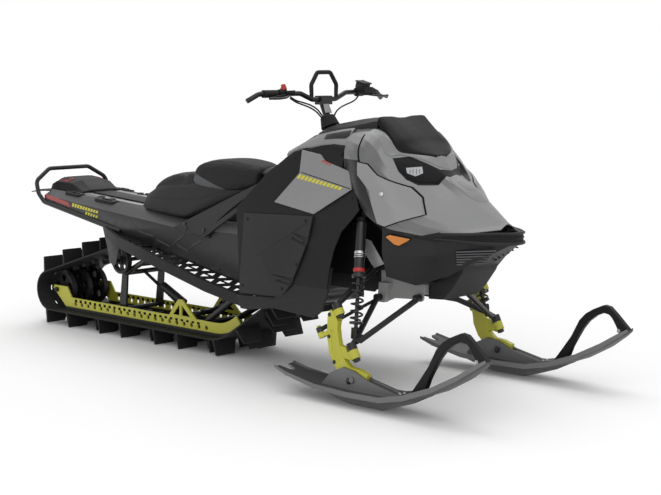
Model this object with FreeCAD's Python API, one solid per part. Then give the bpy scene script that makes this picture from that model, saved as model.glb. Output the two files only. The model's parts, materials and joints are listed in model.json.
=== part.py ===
import FreeCAD, Part
import math
import os
from FreeCAD import Vector

os.makedirs("parts", exist_ok=True)

# Mountain snowmobile: one driven track under a tunnel, two steered skis in front.
# Frame: +X towards the nose, +Y to the rider's left, +Z up, floor at z = 0.
# Origin on the floor under the middle of the whole length. All sizes in millimetres.

# Track loop
track_pitch = 88.9
track_pitches = 47
belt_half_width = 203.0
belt_thickness = 7.0
lug_height = 76.0
lug_root_thickness = 15.0
lug_tip_thickness = 7.0
lug_side_taper = 14.0
window_size = 26.0
window_offset = 104.0
drive_lug_offset = 66.0
drive_lug_height = 20.0
drive_lug_width = 26.0
drive_lug_length = 22.0
sprocket_teeth = 7
rear_wheel_radius = 98.0
carrier_wheel_radius = 68.0
rear_axle_x = -1505.0
carrier_x = -925.0
carrier_z = 388.0
carrier_wheel_y = 162.0
nose_arc_x = -235.0
nose_arc_radius = 293.0
approach_angle = 32.0

# Skid frame
rail_half_track = 140.0
rail_thickness = 9.0
rail_height = 50.0
runner_height = 16.0
runner_width = 22.0
bracket_apex_rise = 84.0

# Tunnel and running boards
tunnel_half_width = 215.0
tunnel_top_half_width = 165.0
tunnel_sheet = 3.0
tunnel_rear_x = -1500.0
anchor_places = [-1130.0, -1040.0]
anchor_half_track = 125.0
anchor_radius = 17.0
anchor_bore = 8.0
anchor_height = 9.0
board_slope = 11.0
board_edge_width = 22.0
board_edge_height = 48.0
board_sheet = 4.0

# Front suspension and steering
stance_half = 460.0
kingpin_foot_x = 970.0
kingpin_foot_z = 213.0
caster = 27.6
steering_arm_radius = 120.0
steering_arm_level = 132.0
crank_eye_y = 20.0
crank_eye_x = 775.0
crank_eye_z = 394.0
stud_radius = 8.0
tie_stud_radius = 6.0
tie_rod_radius = 7.0
arm_tube_radius = 12.0
fit_clearance = 0.05
seat_gap = 0.3
ski_half_width = 84.0
ski_pivot_x = 985.0
ski_pivot_z = 104.0
ski_pivot_radius = 8.0
spindle_half_thickness = 13.0
spring_radius = 23.0
spring_wire = 4.2
spring_turns = 6
column_lean = 25.0
column_radius = 16.0
column_x = 384.0
column_z = 1091.0
bar_radius = 11.0
grip_radius = 17.0

# Bodywork
panel_sheet = 6.0
shell_sheet = 5.0
body_waist_y = 352.0
body_waist_z = 735.0
body_upper_lean = 0.511
body_lower_lean = 0.088


def save(name, shape):
    shape.exportStep("parts/" + name + ".step")
    print(name, len(shape.Solids), shape.isValid(), round(shape.Volume / 1000.0, 1))


def polygon(points):
    return Part.makePolygon(list(points) + [points[0]])


# Prism of an outline drawn in side view (x, z), from y_near to y_far.
def side_prism(outline, y_near, y_far):
    wire = polygon([Vector(x, y_near, z) for x, z in outline])
    return Part.Face(wire).extrude(Vector(0, y_far - y_near, 0))


# Prism of an outline drawn in plan (x, y), from z_low to z_high.
def plan_prism(outline, z_low, z_high):
    wire = polygon([Vector(x, y, z_low) for x, y in outline])
    return Part.Face(wire).extrude(Vector(0, 0, z_high - z_low))


def rod(start, end, radius):
    a = Vector(*start)
    b = Vector(*end)
    return Part.makeCylinder(radius, (b - a).Length, a, b - a)


def ring(start, end, outer, inner):
    return rod(start, end, outer).cut(rod(start, end, inner))


def mirrored(shape):
    return shape.mirror(Vector(0, 0, 0), Vector(0, 1, 0))


def both_sides(shape):
    return Part.Compound([shape, mirrored(shape)])


def fused(shapes):
    whole = shapes[0].multiFuse(shapes[1:]) if len(shapes) > 1 else shapes[0]
    return whole.removeSplitter()


# Path of straight runs joined by tangent arcs of one bend radius.
def bent_path(points, bend):
    pts = [Vector(*p) for p in points]
    edges = []
    start = pts[0]
    for i in range(1, len(pts) - 1):
        before = (pts[i - 1] - pts[i]).normalize()
        after = (pts[i + 1] - pts[i]).normalize()
        half_turn = (math.pi - before.getAngle(after)) / 2.0
        reach = min((pts[i - 1] - pts[i]).Length, (pts[i + 1] - pts[i]).Length) * 0.48
        setback = min(bend * math.tan(half_turn), reach)
        radius = setback / math.tan(half_turn)
        entry = pts[i] + before * setback
        leave = pts[i] + after * setback
        inward = (before + after).normalize()
        centre = pts[i] + inward * (radius / math.cos(half_turn))
        middle = centre - inward * radius
        edges.append(Part.LineSegment(start, entry).toShape())
        edges.append(Part.Arc(entry, middle, leave).toShape())
        start = leave
    edges.append(Part.LineSegment(start, pts[-1]).toShape())
    return Part.Wire(edges)


def tube(points, radius, bend):
    path = bent_path(points, bend)
    first = Vector(*points[0])
    heading = Vector(*points[1]) - first
    section = Part.Wire(Part.makeCircle(radius, first, heading))
    return path.makePipeShell([section], True, False)


# Solid lofted through cross-sections given as lists of (x, y, z) points.
def loft_sections(sections, ruled=True):
    wires = [polygon([Vector(*p) for p in section]) for section in sections]
    return Part.makeLoft(wires, True, ruled)


# Full cross-section at one x, from its right half listed bottom to top.
def symmetric_section(x, half):
    right = [(x, -y, z) for y, z in half]
    left = [(x, y, z) for y, z in reversed(half) if y > 0]
    return right + left


# The belt's middle line: external tangents and arcs round four circles,
# taken forwards along the floor, up to the driver and back over the carrier.
belt_middle = belt_thickness / 2.0
sprocket_pitch_radius = sprocket_teeth * track_pitch / (2.0 * math.pi)
ground_to_inner_belt = lug_height + belt_thickness
rear_axle_z = ground_to_inner_belt + rear_wheel_radius
nose_arc_z = ground_to_inner_belt + nose_arc_radius


def loop_circles(run_length):
    slope = math.radians(approach_angle)
    reach = nose_arc_radius + belt_middle - sprocket_pitch_radius
    sprocket_x = nose_arc_x + reach * math.sin(slope) + run_length * math.cos(slope)
    sprocket_z = nose_arc_z - reach * math.cos(slope) + run_length * math.sin(slope)
    return [
        (rear_axle_x, rear_axle_z, rear_wheel_radius + belt_middle),
        (nose_arc_x, nose_arc_z, nose_arc_radius + belt_middle),
        (sprocket_x, sprocket_z, sprocket_pitch_radius),
        (carrier_x, carrier_z, carrier_wheel_radius + belt_middle),
    ]


def tangent_angle(one, two):
    dx = two[0] - one[0]
    dz = two[1] - one[1]
    return math.atan2(dz, dx) - math.acos((one[2] - two[2]) / math.hypot(dx, dz))


# Straight and curved stretches of the loop: (kind, circle, first angle, last angle, length)
def loop_stretches(circles):
    count = len(circles)
    angles = [tangent_angle(circles[i], circles[(i + 1) % count]) for i in range(count)]
    stretches = []
    for i in range(count):
        x, z, radius = circles[i]
        arrive = angles[i - 1]
        turn = (angles[i] - arrive) % (2.0 * math.pi)
        stretches.append(("arc", circles[i], arrive, arrive + turn, radius * turn))
        nx, nz, nr = circles[(i + 1) % count]
        start = (x + radius * math.cos(angles[i]), z + radius * math.sin(angles[i]))
        end = (nx + nr * math.cos(angles[i]), nz + nr * math.sin(angles[i]))
        length = math.hypot(end[0] - start[0], end[1] - start[1])
        stretches.append(("line", start, end, angles[i], length))
    return stretches


def loop_length(run_length):
    return sum(stretch[4] for stretch in loop_stretches(loop_circles(run_length)))


# The driver sits on the approach line where the loop takes exactly the track's length.
low_run = 100.0
high_run = 1200.0
for step in range(60):
    middle_run = (low_run + high_run) / 2.0
    if loop_length(middle_run) < track_pitch * track_pitches:
        low_run = middle_run
    else:
        high_run = middle_run
circles = loop_circles(middle_run)
stretches = loop_stretches(circles)
sprocket_x = circles[2][0]
sprocket_z = circles[2][1]
print("driver at", round(sprocket_x), round(sprocket_z))


# Closed wire of the loop shifted outwards by an offset.
def loop_wire(offset):
    edges = []
    for kind, a, b, c, length in stretches:
        if kind == "arc":
            centre = a
            radius = centre[2] + offset
            spots = []
            for angle in (b, (b + c) / 2.0, c):
                x = centre[0] + radius * math.cos(angle)
                z = centre[1] + radius * math.sin(angle)
                spots.append(Vector(x, -belt_half_width, z))
            edges.append(Part.Arc(*spots).toShape())
        else:
            nx = math.cos(c) * offset
            nz = math.sin(c) * offset
            start = Vector(a[0] + nx, -belt_half_width, a[1] + nz)
            end = Vector(b[0] + nx, -belt_half_width, b[1] + nz)
            edges.append(Part.LineSegment(start, end).toShape())
    return Part.Wire(edges)


# Place at a distance along the loop: point on the middle line and outward direction.
def loop_place(distance):
    for kind, a, b, c, length in stretches:
        if distance <= length:
            share = distance / length
            if kind == "arc":
                angle = b + (c - b) * share
                return a[0] + a[2] * math.cos(angle), a[1] + a[2] * math.sin(angle), angle
            return a[0] + (b[0] - a[0]) * share, a[1] + (b[1] - a[1]) * share, c
        distance -= length
    return loop_place(distance)


# Moves a shape drawn at the origin, outward along +Z, to its row of the track.
def on_row(shape, row):
    x, z, angle = loop_place((row * track_pitch) % (track_pitch * track_pitches))
    turned = shape.copy()
    turned.rotate(Vector(0, 0, 0), Vector(0, 1, 0), 90.0 - math.degrees(angle))
    turned.translate(Vector(x, 0, z))
    return turned


def paddle(y_from, y_to):
    foot = belt_middle - 3.0
    tip = belt_middle + lug_height
    half_root = lug_root_thickness / 2.0
    half_tip = lug_tip_thickness / 2.0
    inset = lug_side_taper
    root = [
        (-half_root, y_from, foot), (half_root, y_from, foot), (half_root, y_to, foot),
        (-half_root, y_to, foot),
    ]
    top = [
        (-half_tip, y_from + inset, tip),
        (half_tip, y_from + inset, tip),
        (half_tip, y_to - inset, tip),
        (-half_tip, y_to - inset, tip),
    ]
    return loft_sections([root, top])


# Paddles of the three kinds of row, and the order in which rows follow each other.
paddle_rows = {
    "outer": [(-belt_half_width, -62.0), (62.0, belt_half_width)],
    "centre": [(-88.0, 88.0)],
    "middle": [(-156.0, -34.0), (34.0, 156.0)],
}
row_order = ["outer", "centre", "middle", "outer", "centre"]


def build_track():
    outer = Part.Face(loop_wire(belt_middle))
    inner = Part.Face(loop_wire(-belt_middle))
    belt = outer.cut(inner).extrude(Vector(0, 2.0 * belt_half_width, 0))
    window = Part.makeBox(window_size, window_size, belt_thickness * 3.0)
    window.translate(Vector(-window_size / 2.0, -window_size / 2.0, -belt_thickness * 1.5))
    drive_lug = Part.makeBox(drive_lug_length, drive_lug_width, drive_lug_height + 2.0)
    drive_lug.translate(
        Vector(-drive_lug_length / 2.0, -drive_lug_width / 2.0, -belt_middle - drive_lug_height),
    )
    windows = []
    pieces = []
    for row in range(track_pitches):
        for side in (-1, 1):
            hole = window.copy()
            hole.translate(Vector(0, side * window_offset, 0))
            windows.append(on_row(hole, row + 0.5))
            guide = drive_lug.copy()
            guide.translate(Vector(0, side * drive_lug_offset, 0))
            pieces.append(on_row(guide, row))
        for y_from, y_to in paddle_rows[row_order[row % len(row_order)]]:
            pieces.append(on_row(paddle(y_from, y_to), row))
    belt = belt.cut(Part.Compound(windows))
    return belt.multiFuse(pieces)


track = build_track()
save("track", track)


# Skid frame: two drilled rails with a bracket each, on their plastic runners.
rail_bottom = ground_to_inner_belt + seat_gap + runner_height
rail_top = rail_bottom + rail_height
rail_front_angle = 39.0


def nose_point(radius, angle):
    turn = math.radians(angle)
    return nose_arc_x + radius * math.sin(turn), nose_arc_z - radius * math.cos(turn)


def arc_band(outer_radius, inner_radius, first, last, steps=8):
    lower = [nose_point(outer_radius, first + (last - first) * i / steps) for i in range(steps + 1)]
    upper = [nose_point(inner_radius, first + (last - first) * i / steps) for i in range(steps + 1)]
    return lower, upper


def build_rail():
    runner_top_radius = nose_arc_radius - seat_gap - runner_height
    low, high = arc_band(runner_top_radius, runner_top_radius - rail_height, 0.0, rail_front_angle)
    tail = [
        (nose_arc_x, rail_top),
        (-1384.0, rail_top),
        (-1421.0, rear_axle_z + 22.0),
        (-1535.0, rear_axle_z + 22.0),
        (-1541.0, rear_axle_z + 6.0),
        (-1435.0, rail_bottom),
    ]
    outline = low + list(reversed(high)) + tail[1:]
    near = rail_half_track - rail_thickness / 2.0
    rail = side_prism(outline, near, near + rail_thickness)
    apex_x = -495.0
    bracket = side_prism(
        [
            (apex_x - 92.0, rail_top - 6.0),
            (apex_x - 16.0, rail_top + bracket_apex_rise),
            (apex_x + 16.0, rail_top + bracket_apex_rise),
            (apex_x + 122.0, rail_top - 6.0),
        ],
        near,
        near + rail_thickness,
    )
    hollow_left = side_prism(
        [
            (apex_x - 58.0, rail_top + 6.0), (apex_x - 8.0, rail_top + 6.0),
            (apex_x - 8.0, rail_top + 58.0),
        ],
        near - 1.0,
        near + rail_thickness + 1.0,
    )
    hollow_right = side_prism(
        [
            (apex_x + 8.0, rail_top + 6.0), (apex_x + 72.0, rail_top + 6.0),
            (apex_x + 8.0, rail_top + 58.0),
        ],
        near - 1.0,
        near + rail_thickness + 1.0,
    )
    rail = rail.fuse(bracket).cut(hollow_left).cut(hollow_right)
    holes = []
    hole_z = rail_bottom + rail_height * 0.36
    for i in range(20):
        x = -1350.0 + i * 55.0
        holes.append(rod((x, near - 1.0, hole_z), (x, near + rail_thickness + 1.0, hole_z), 11.0))
    holes.append(
        rod(
            (rear_axle_x, near - 1.0, rear_axle_z),
            (rear_axle_x, near + rail_thickness + 1.0, rear_axle_z), 12.0 + fit_clearance,
        ),
    )
    return rail.cut(Part.Compound(holes))


def build_runner():
    low, high = arc_band(
        nose_arc_radius - seat_gap, nose_arc_radius - seat_gap - runner_height, 0.0, approach_angle,
    )
    outline = low + list(reversed(high)) + [
        (-1425.0, rail_bottom), (-1425.0, rail_bottom - runner_height),
    ]
    return side_prism(
        outline, rail_half_track - runner_width / 2.0, rail_half_track + runner_width / 2.0,
    )


slide_rail = build_rail()
rail_runner = build_runner().cut(slide_rail)
save("slide_rails", both_sides(slide_rail))
save("rail_runners", both_sides(rail_runner))


def wheel(x, y, z, radius, width, hub_radius, bore):
    tread = ring((x, y - width / 2.0, z), (x, y + width / 2.0, z), radius, radius - 14.0)
    disc = ring((x, y - 4.0, z), (x, y + 4.0, z), radius - 12.0, hub_radius - 2.0)
    hub = ring((x, y - width / 2.0 - 4.0, z), (x, y + width / 2.0 + 4.0, z), hub_radius, bore)
    holes = []
    for i in range(5):
        turn = math.radians(72.0 * i + 18.0)
        middle = (radius + hub_radius) / 2.0 - 6.0
        hx = x + middle * math.cos(turn)
        hz = z + middle * math.sin(turn)
        holes.append(rod((hx, y - 6.0, hz), (hx, y + 6.0, hz), (radius - hub_radius) * 0.24))
    return fused([tread, disc, hub]).cut(Part.Compound(holes))


# Rear axle with its wheels, running inside the loop between the rails.
axle_radius = 12.0
axle_reach = rail_half_track + rail_thickness / 2.0 + 14.0


def build_rear_axle():
    axle = rod(
        (rear_axle_x, -axle_reach, rear_axle_z), (rear_axle_x, axle_reach, rear_axle_z), axle_radius,
    )
    wheels = [
        wheel(
            rear_axle_x, y, rear_axle_z, rear_wheel_radius - seat_gap, 26.0, 24.0, axle_radius - 1.0,
        ) for y in (-100.0, 0.0, 100.0)
    ]
    return fused([axle] + wheels)


save("rear_axle", build_rear_axle())


def build_carrier():
    reach = tunnel_half_width - tunnel_sheet - seat_gap
    axle = rod((carrier_x, -reach, carrier_z), (carrier_x, reach, carrier_z), 10.0)
    wheels = [
        wheel(
            carrier_x, y, carrier_z, carrier_wheel_radius - seat_gap, 26.0, 20.0, 9.0,
        ) for y in (-carrier_wheel_y, carrier_wheel_y)
    ]
    return fused([axle] + wheels)


save("carrier_axle", build_carrier())


def build_drive_shaft():
    reach = tunnel_half_width - tunnel_sheet - seat_gap
    shaft = rod((sprocket_x, -reach, sprocket_z), (sprocket_x, reach, sprocket_z), 16.0)
    tip_radius = sprocket_pitch_radius - belt_middle - seat_gap
    wheels = []
    for y in (-drive_lug_offset, drive_lug_offset):
        outline = []
        for tooth in range(sprocket_teeth * 2):
            for edge in (-0.3, 0.3):
                turn = math.radians((tooth + edge) * 180.0 / sprocket_teeth)
                radius = tip_radius - drive_lug_height - 4.0 if tooth % 2 else tip_radius - 22.0
                outline.append(
                    (sprocket_x + radius * math.cos(turn), sprocket_z + radius * math.sin(turn)),
                )
        wheels.append(side_prism(outline, y - 16.0, y + 16.0))
    return fused([shaft] + wheels)


save("drive_shaft", build_drive_shaft())


# Cuts the neighbours away from a piece and keeps its real parts.
def trimmed(shape, neighbours):
    left = shape.cut(Part.Compound(list(neighbours)))
    biggest = max(solid.Volume for solid in left.Solids)
    kept = [solid for solid in left.Solids if solid.Volume > biggest * 0.02]
    return kept[0] if len(kept) == 1 else Part.Compound(kept)


# Tunnel: folded sheet over the track, closed by a curved wall round the driver.
# Each station gives x, the height of the shoulder, of the crease and of the low edge.
tunnel_stations = [
    (tunnel_rear_x, 712.0, 685.0, 636.0),
    (-865.0, 669.0, 629.0, 529.0),
    (-430.0, 629.0, 592.0, 455.0),
    (0.0, 634.0, 594.0, 375.0),
    (sprocket_x, 640.0, 600.0, 330.0),
]


def tunnel_height(x, column):
    for one, two in zip(tunnel_stations, tunnel_stations[1:]):
        if x <= two[0]:
            share = (x - one[0]) / (two[0] - one[0])
            return one[column] + (two[column] - one[column]) * share
    return tunnel_stations[-1][column]


def tunnel_body(inset, lower):
    sections = []
    for x, shoulder, crease, low in tunnel_stations:
        half = [
            (tunnel_half_width - inset, low - lower),
            (tunnel_half_width - inset, crease - inset * 0.4),
            (tunnel_top_half_width - inset * 0.4, shoulder - inset),
        ]
        reach = x - (20.0 if lower and x == tunnel_rear_x else 0.0)
        sections.append(symmetric_section(reach, half))
    return loft_sections(sections)


def driver_cover(inset, first, last):
    top = 640.0 - sprocket_z - inset
    crease = 600.0 - sprocket_z - inset * 0.4
    wide = tunnel_half_width - inset
    narrow = tunnel_top_half_width - inset * 0.4
    outline = [
        (-wide, 0.0), (-wide, crease), (-narrow, top), (narrow, top), (wide, crease), (wide, 0.0),
    ]
    wire = polygon([Vector(sprocket_x, y, sprocket_z + r) for y, r in outline])
    face = Part.Face(wire)
    face.rotate(Vector(sprocket_x, 0, sprocket_z), Vector(0, 1, 0), first)
    return face.revolve(Vector(sprocket_x, 0, sprocket_z), Vector(0, 1, 0), last - first)


def hanging_bracket(x, z, top, half_top):
    outline = [
        (x - half_top, top), (x - 22.0, z - 6.0), (x - 10.0, z - 20.0), (x + 10.0, z - 20.0),
        (x + 22.0, z - 6.0), (x + half_top, top),
    ]
    return side_prism(outline, tunnel_half_width - tunnel_sheet, tunnel_half_width)


rear_pivot_x = -670.0
rear_pivot_z = 428.0
front_pivot_x = 90.0
front_pivot_z = 382.0

tunnel_outer = tunnel_body(0.0, 0.0).fuse(driver_cover(0.0, 0.0, 128.0))
tunnel_inner = tunnel_body(tunnel_sheet, 60.0).fuse(driver_cover(tunnel_sheet, 0.0, 140.0))
cheek_outline = [
    (sprocket_x - 60.0, 345.0), (sprocket_x + 150.0, 298.0), (sprocket_x + 165.0, 298.0),
    (sprocket_x + 165.0, 420.0), (sprocket_x - 60.0, 420.0),
]
cheek = side_prism(cheek_outline, tunnel_half_width - tunnel_sheet, tunnel_half_width)
brackets = [
    hanging_bracket(carrier_x, carrier_z, tunnel_height(carrier_x, 3) + 12.0, 80.0),
    hanging_bracket(rear_pivot_x, rear_pivot_z, tunnel_height(rear_pivot_x, 3) + 12.0, 70.0),
    hanging_bracket(front_pivot_x, front_pivot_z - 6.0, tunnel_height(front_pivot_x, 3) + 30.0, 60.0),
]
hung = [cheek, mirrored(cheek)] + brackets + [mirrored(bracket) for bracket in brackets]
tunnel = fused([tunnel_outer.cut(tunnel_inner)] + hung)
# Accessory anchors: bored bosses standing square on the sloping top.
anchor_slope = math.atan(
    (tunnel_stations[0][1] - tunnel_stations[1][1]) / (tunnel_stations[1][0] - tunnel_stations[0][0]),
)
anchor_up = Vector(math.sin(anchor_slope), 0, math.cos(anchor_slope))
for x in anchor_places:
    for y in (-anchor_half_track, anchor_half_track):
        foot = Vector(x, y, tunnel_height(x, 1))
        tunnel = tunnel.fuse(
            Part.makeCylinder(anchor_radius, anchor_height + 2.0, foot - anchor_up * 2.0, anchor_up),
        )
        tunnel = tunnel.cut(
            Part.makeCylinder(anchor_bore, anchor_height + 12.0, foot - anchor_up * 8.0, anchor_up),
        )
save("tunnel", tunnel)


# Running boards: open grating between the tunnel and a deep outer edge.
board_stations = [
    (-955.0, 232.0, 540.0), (-760.0, 302.0, 502.0), (-460.0, 345.0, 452.0), (-50.0, 360.0, 366.0),
    (230.0, 365.0, 322.0),
]


def board_edge_y(x):
    for one, two in zip(board_stations, board_stations[1:]):
        if x <= two[0]:
            share = (x - one[0]) / (two[0] - one[0])
            return one[1] + (two[1] - one[1]) * share
    return board_stations[-1][1]


bumper_points = [
    (-850.0, 226.3, 543.0),
    (-1487.0, 226.3, 650.0),
    (-1537.0, 226.3, 693.0),
    (-1560.0, 222.0, 755.0),
    (-1580.0, 125.0, 815.0),
]
bumper_path = bumper_points + [(x, -y, z) for x, y, z in reversed(bumper_points)]
rear_bumper = tube(bumper_path, 11.0, 45.0)
save("rear_bumper", trimmed(rear_bumper, [tunnel]))


def build_board():
    deck = []
    edge = []
    for x, y, z in board_stations:
        inner = tunnel_height(x, 3) + 6.0
        outer = z + 14.0
        deck.append(
            [
                (x, tunnel_half_width, inner), (x, y, outer), (x, y, outer - board_sheet),
                (x, tunnel_half_width, inner - board_sheet),
            ],
        )
        half = board_edge_width / 2.0
        rise = board_edge_height / 2.0
        edge.append(
            [
                (x, y - half, z - rise), (x, y + half, z - rise), (x, y + half, z + rise),
                (x, y - half, z + rise),
            ],
        )
    deck = loft_sections(deck)
    holes = []
    for i in range(17):
        x = -740.0 + i * 58.0
        reach = board_edge_y(x) - 24.0
        gap = (reach - tunnel_half_width - 18.0) / 2.0
        for row in range(2):
            y = tunnel_half_width + 8.0 + row * (gap + 8.0)
            flip = (i + row) % 2
            tall = gap - 4.0
            if flip:
                outline = [(x, y), (x + 48.0, y), (x + 24.0, y + tall)]
            else:
                outline = [(x, y + tall), (x + 24.0, y), (x + 48.0, y + tall)]
            holes.append(plan_prism(outline, 250.0, 620.0))
    deck = deck.cut(Part.Compound(holes))
    return fused([deck, loft_sections(edge)]).cut(rear_bumper).cut(tunnel)


board = build_board()
save("running_board_left", board)
save("running_board_right", mirrored(board))

flap_outline = [
    (-1496.0, 708.0), (-1560.0, 712.0), (-1640.0, 696.0), (-1640.0, 692.0), (-1560.0, 708.0),
    (-1496.0, 704.0),
]
flap = side_prism(flap_outline, -200.0, 200.0)
save("snow_flap", trimmed(flap, [tunnel_outer]))

# Cover over the rear of the tunnel, with the rear lamp in its back.
cover_sections = [
    symmetric_section(-1534.0, [(150.0, 711.0), (140.0, 738.0), (70.0, 758.0)]),
    symmetric_section(-1500.0, [(160.0, 705.0), (140.0, 752.0), (70.0, 773.0)]),
    symmetric_section(-1385.0, [(160.0, 694.0), (122.0, 746.0), (60.0, 764.0)]),
    symmetric_section(-1300.0, [(156.0, 684.0), (110.0, 706.0), (60.0, 712.0)]),
]
cover = trimmed(loft_sections(cover_sections), [tunnel_outer, flap])
save("rear_cover", cover)
lamp_bar = side_prism(
    [(-1543.0, 720.0), (-1534.0, 720.0), (-1525.0, 748.0), (-1534.0, 748.0)], -95.0, 95.0,
)
reflector = side_prism(
    [(-1486.0, 670.0), (-1486.0, 692.0), (-1290.0, 660.0), (-1268.0, 635.0)], tunnel_half_width,
    tunnel_half_width + 2.5,
)
reflector = reflector.cut(rear_bumper)
save("rear_lamps", Part.Compound([lamp_bar.cut(cover), reflector, mirrored(reflector)]))

# Seat: soft padded saddle that rests on the tunnel.
seat_stations = [
    (-800.0, [(118.0, 672.0), (140.0, 705.0), (125.0, 738.0), (70.0, 755.0), (0.0, 758.0)]),
    (-700.0, [(160.0, 657.0), (176.0, 692.0), (150.0, 765.0), (90.0, 812.0), (0.0, 820.0)]),
    (-560.0, [(180.0, 645.0), (192.0, 700.0), (160.0, 780.0), (95.0, 830.0), (0.0, 838.0)]),
    (-490.0, [(188.0, 640.0), (196.0, 705.0), (158.0, 805.0), (100.0, 872.0), (0.0, 884.0)]),
    (-420.0, [(190.0, 636.0), (196.0, 710.0), (158.0, 820.0), (108.0, 888.0), (0.0, 902.0)]),
    (-320.0, [(184.0, 650.0), (190.0, 712.0), (154.0, 822.0), (106.0, 886.0), (0.0, 901.0)]),
    (-200.0, [(168.0, 706.0), (172.0, 750.0), (140.0, 828.0), (98.0, 876.0), (0.0, 892.0)]),
    (-90.0, [(140.0, 756.0), (144.0, 785.0), (118.0, 832.0), (84.0, 866.0), (0.0, 882.0)]),
    (-12.0, [(85.0, 790.0), (90.0, 812.0), (76.0, 838.0), (50.0, 856.0), (0.0, 868.0)]),
]
seat = loft_sections([symmetric_section(x, half) for x, half in seat_stations])
seat = trimmed(seat, [tunnel_outer])
save("seat", seat)

seat_base = loft_sections([
    symmetric_section(-300.0, [(110.0, 631.0), (110.0, 760.0)]),
    symmetric_section(-20.0, [(110.0, 634.0), (80.0, 830.0)]),
])
save("seat_base", trimmed(seat_base, [tunnel_outer, seat]))


# Engine bay frame: two side plates, a front casting and the steering crank's web.
caster_rad = math.radians(caster)
pin_up = Vector(-math.sin(caster_rad), 0, math.cos(caster_rad))
pin_front = Vector(math.cos(caster_rad), 0, math.sin(caster_rad))
kingpin_foot = Vector(kingpin_foot_x, stance_half, kingpin_foot_z)
crank_pin = Vector(crank_eye_x, 0, crank_eye_z) + pin_front * steering_arm_radius


def on_kingpin(level, back=0.0, out=0.0):
    return kingpin_foot + pin_up * level - pin_front * back + Vector(0, out, 0)


def on_crank(level, back=0.0, out=0.0):
    return crank_pin + pin_up * level - pin_front * back + Vector(0, out, 0)


def pin(start, end, radius):
    return Part.makeCylinder(radius, (end - start).Length, start, end - start)


def sleeve(start, end, outer, inner):
    return pin(start, end, outer).cut(pin(start, end, inner))


bay_outline = [
    (
        410.0, 400.0,
    ), (774.0, 400.0), (782.0, 411.0), (816.0, 411.0), (826.0, 372.0), (845.0, 366.0), (890.0, 385.0),
    (1000.0, 392.0), (1062.0, 420.0),
    (1062.0, 560.0), (1010.0, 640.0), (860.0, 640.0), (800.0, 474.0), (410.0, 474.0),
]
bay_plate = side_prism(bay_outline, 120.0, 132.0)
lightening = side_prism(
    [(880.0, 470.0), (1020.0, 470.0), (1020.0, 540.0), (960.0, 590.0), (880.0, 560.0)], 110.0, 140.0,
)
bay_plate = bay_plate.cut(lightening)
rear_ear = side_prism([(816.0, 366.0), (856.0, 366.0), (880.0, 450.0), (826.0, 450.0)], 131.0, 158.0)
upper_ear = rod((840.0, 131.0, 524.0), (840.0, 150.0, 524.0), 17.0)
front_ear = rod((1040.0, 131.0, 404.0), (1040.0, 140.0, 404.0), 18.0)
crossbeam = side_prism(
    [(1046.0, 420.0), (1062.0, 420.0), (1062.0, 560.0), (1046.0, 560.0)], -121.0, 121.0,
)
top_beam = side_prism([(860.0, 628.0), (1010.0, 628.0), (1010.0, 640.0), (860.0, 640.0)], -121.0, 121.0)
web_low = on_crank(26.0)
web_face = Part.Face(
    polygon(
        [
            web_low - pin_front * 26.0 + Vector(0, -121.0, 0),
            web_low + pin_front * 26.0 + Vector(0, -121.0, 0),
            web_low + pin_front * 26.0 + Vector(0, 121.0, 0),
            web_low - pin_front * 26.0 + Vector(0, 121.0, 0),
        ],
    ),
)
web = web_face.extrude(pin_up * 14.0)
tower = [
    rod((872.0, 122.0, 630.0), (872.0, 262.0, 752.0), 14.0),
    rod((872.0, -296.0, 752.0), (872.0, 296.0, 752.0), 14.0),
]
tower_left = [bay_plate, rear_ear, upper_ear, front_ear, tower[0]]
bulkhead = fused(
    tower_left + [mirrored(piece) for piece in tower_left] + [crossbeam, top_beam, web, tower[1]]
)
bulkhead = bulkhead.cut(pin(on_crank(20.0), on_crank(50.0), 10.0 + fit_clearance))
bulkhead = trimmed(bulkhead, [tunnel_outer])
save("bulkhead", bulkhead)

engine_block = loft_sections([
    [(455.0, -225.0, 474.3), (745.0, -225.0, 474.3), (745.0, 225.0, 474.3), (455.0, 225.0, 474.3)],
    [(455.0, -225.0, 700.0), (745.0, -225.0, 700.0), (745.0, 225.0, 700.0), (455.0, 225.0, 700.0)],
    [(490.0, -170.0, 770.0), (700.0, -170.0, 770.0), (700.0, 170.0, 770.0), (490.0, 170.0, 770.0)],
])
save("engine", engine_block)


# Steering crank under its web, turning about an axis parallel to the kingpins.
crank_hub = pin(on_crank(-6.0), on_crank(25.7), 17.0)
crank_post = pin(on_crank(20.0), on_crank(54.0), 10.0)
crank_nut = pin(on_crank(40.3), on_crank(50.0), 16.0)
arm_root = on_crank(9.0)
arm_far = on_crank(9.0, steering_arm_radius + 12.0)
arm_outline = [
    arm_root + Vector(
        0, -17.0, 0,
    ), arm_far + Vector(0, -34.0, 0) + pin_front * 14.0, arm_far + Vector(0, -30.0, 0),
    arm_far + Vector(
        0, 30.0, 0,
    ), arm_far + Vector(0, 34.0, 0) + pin_front * 14.0, arm_root + Vector(0, 17.0, 0),
]
crank_arm = Part.Face(polygon(arm_outline)).extrude(pin_up * 9.0)
crank_studs = [
    pin(
        on_crank(-12.0, steering_arm_radius, y), on_crank(12.0, steering_arm_radius, y),
        tie_stud_radius,
    ) for y in (-crank_eye_y, crank_eye_y)
]
save("steering_crank", fused([crank_hub, crank_post, crank_nut, crank_arm] + crank_studs))


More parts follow.
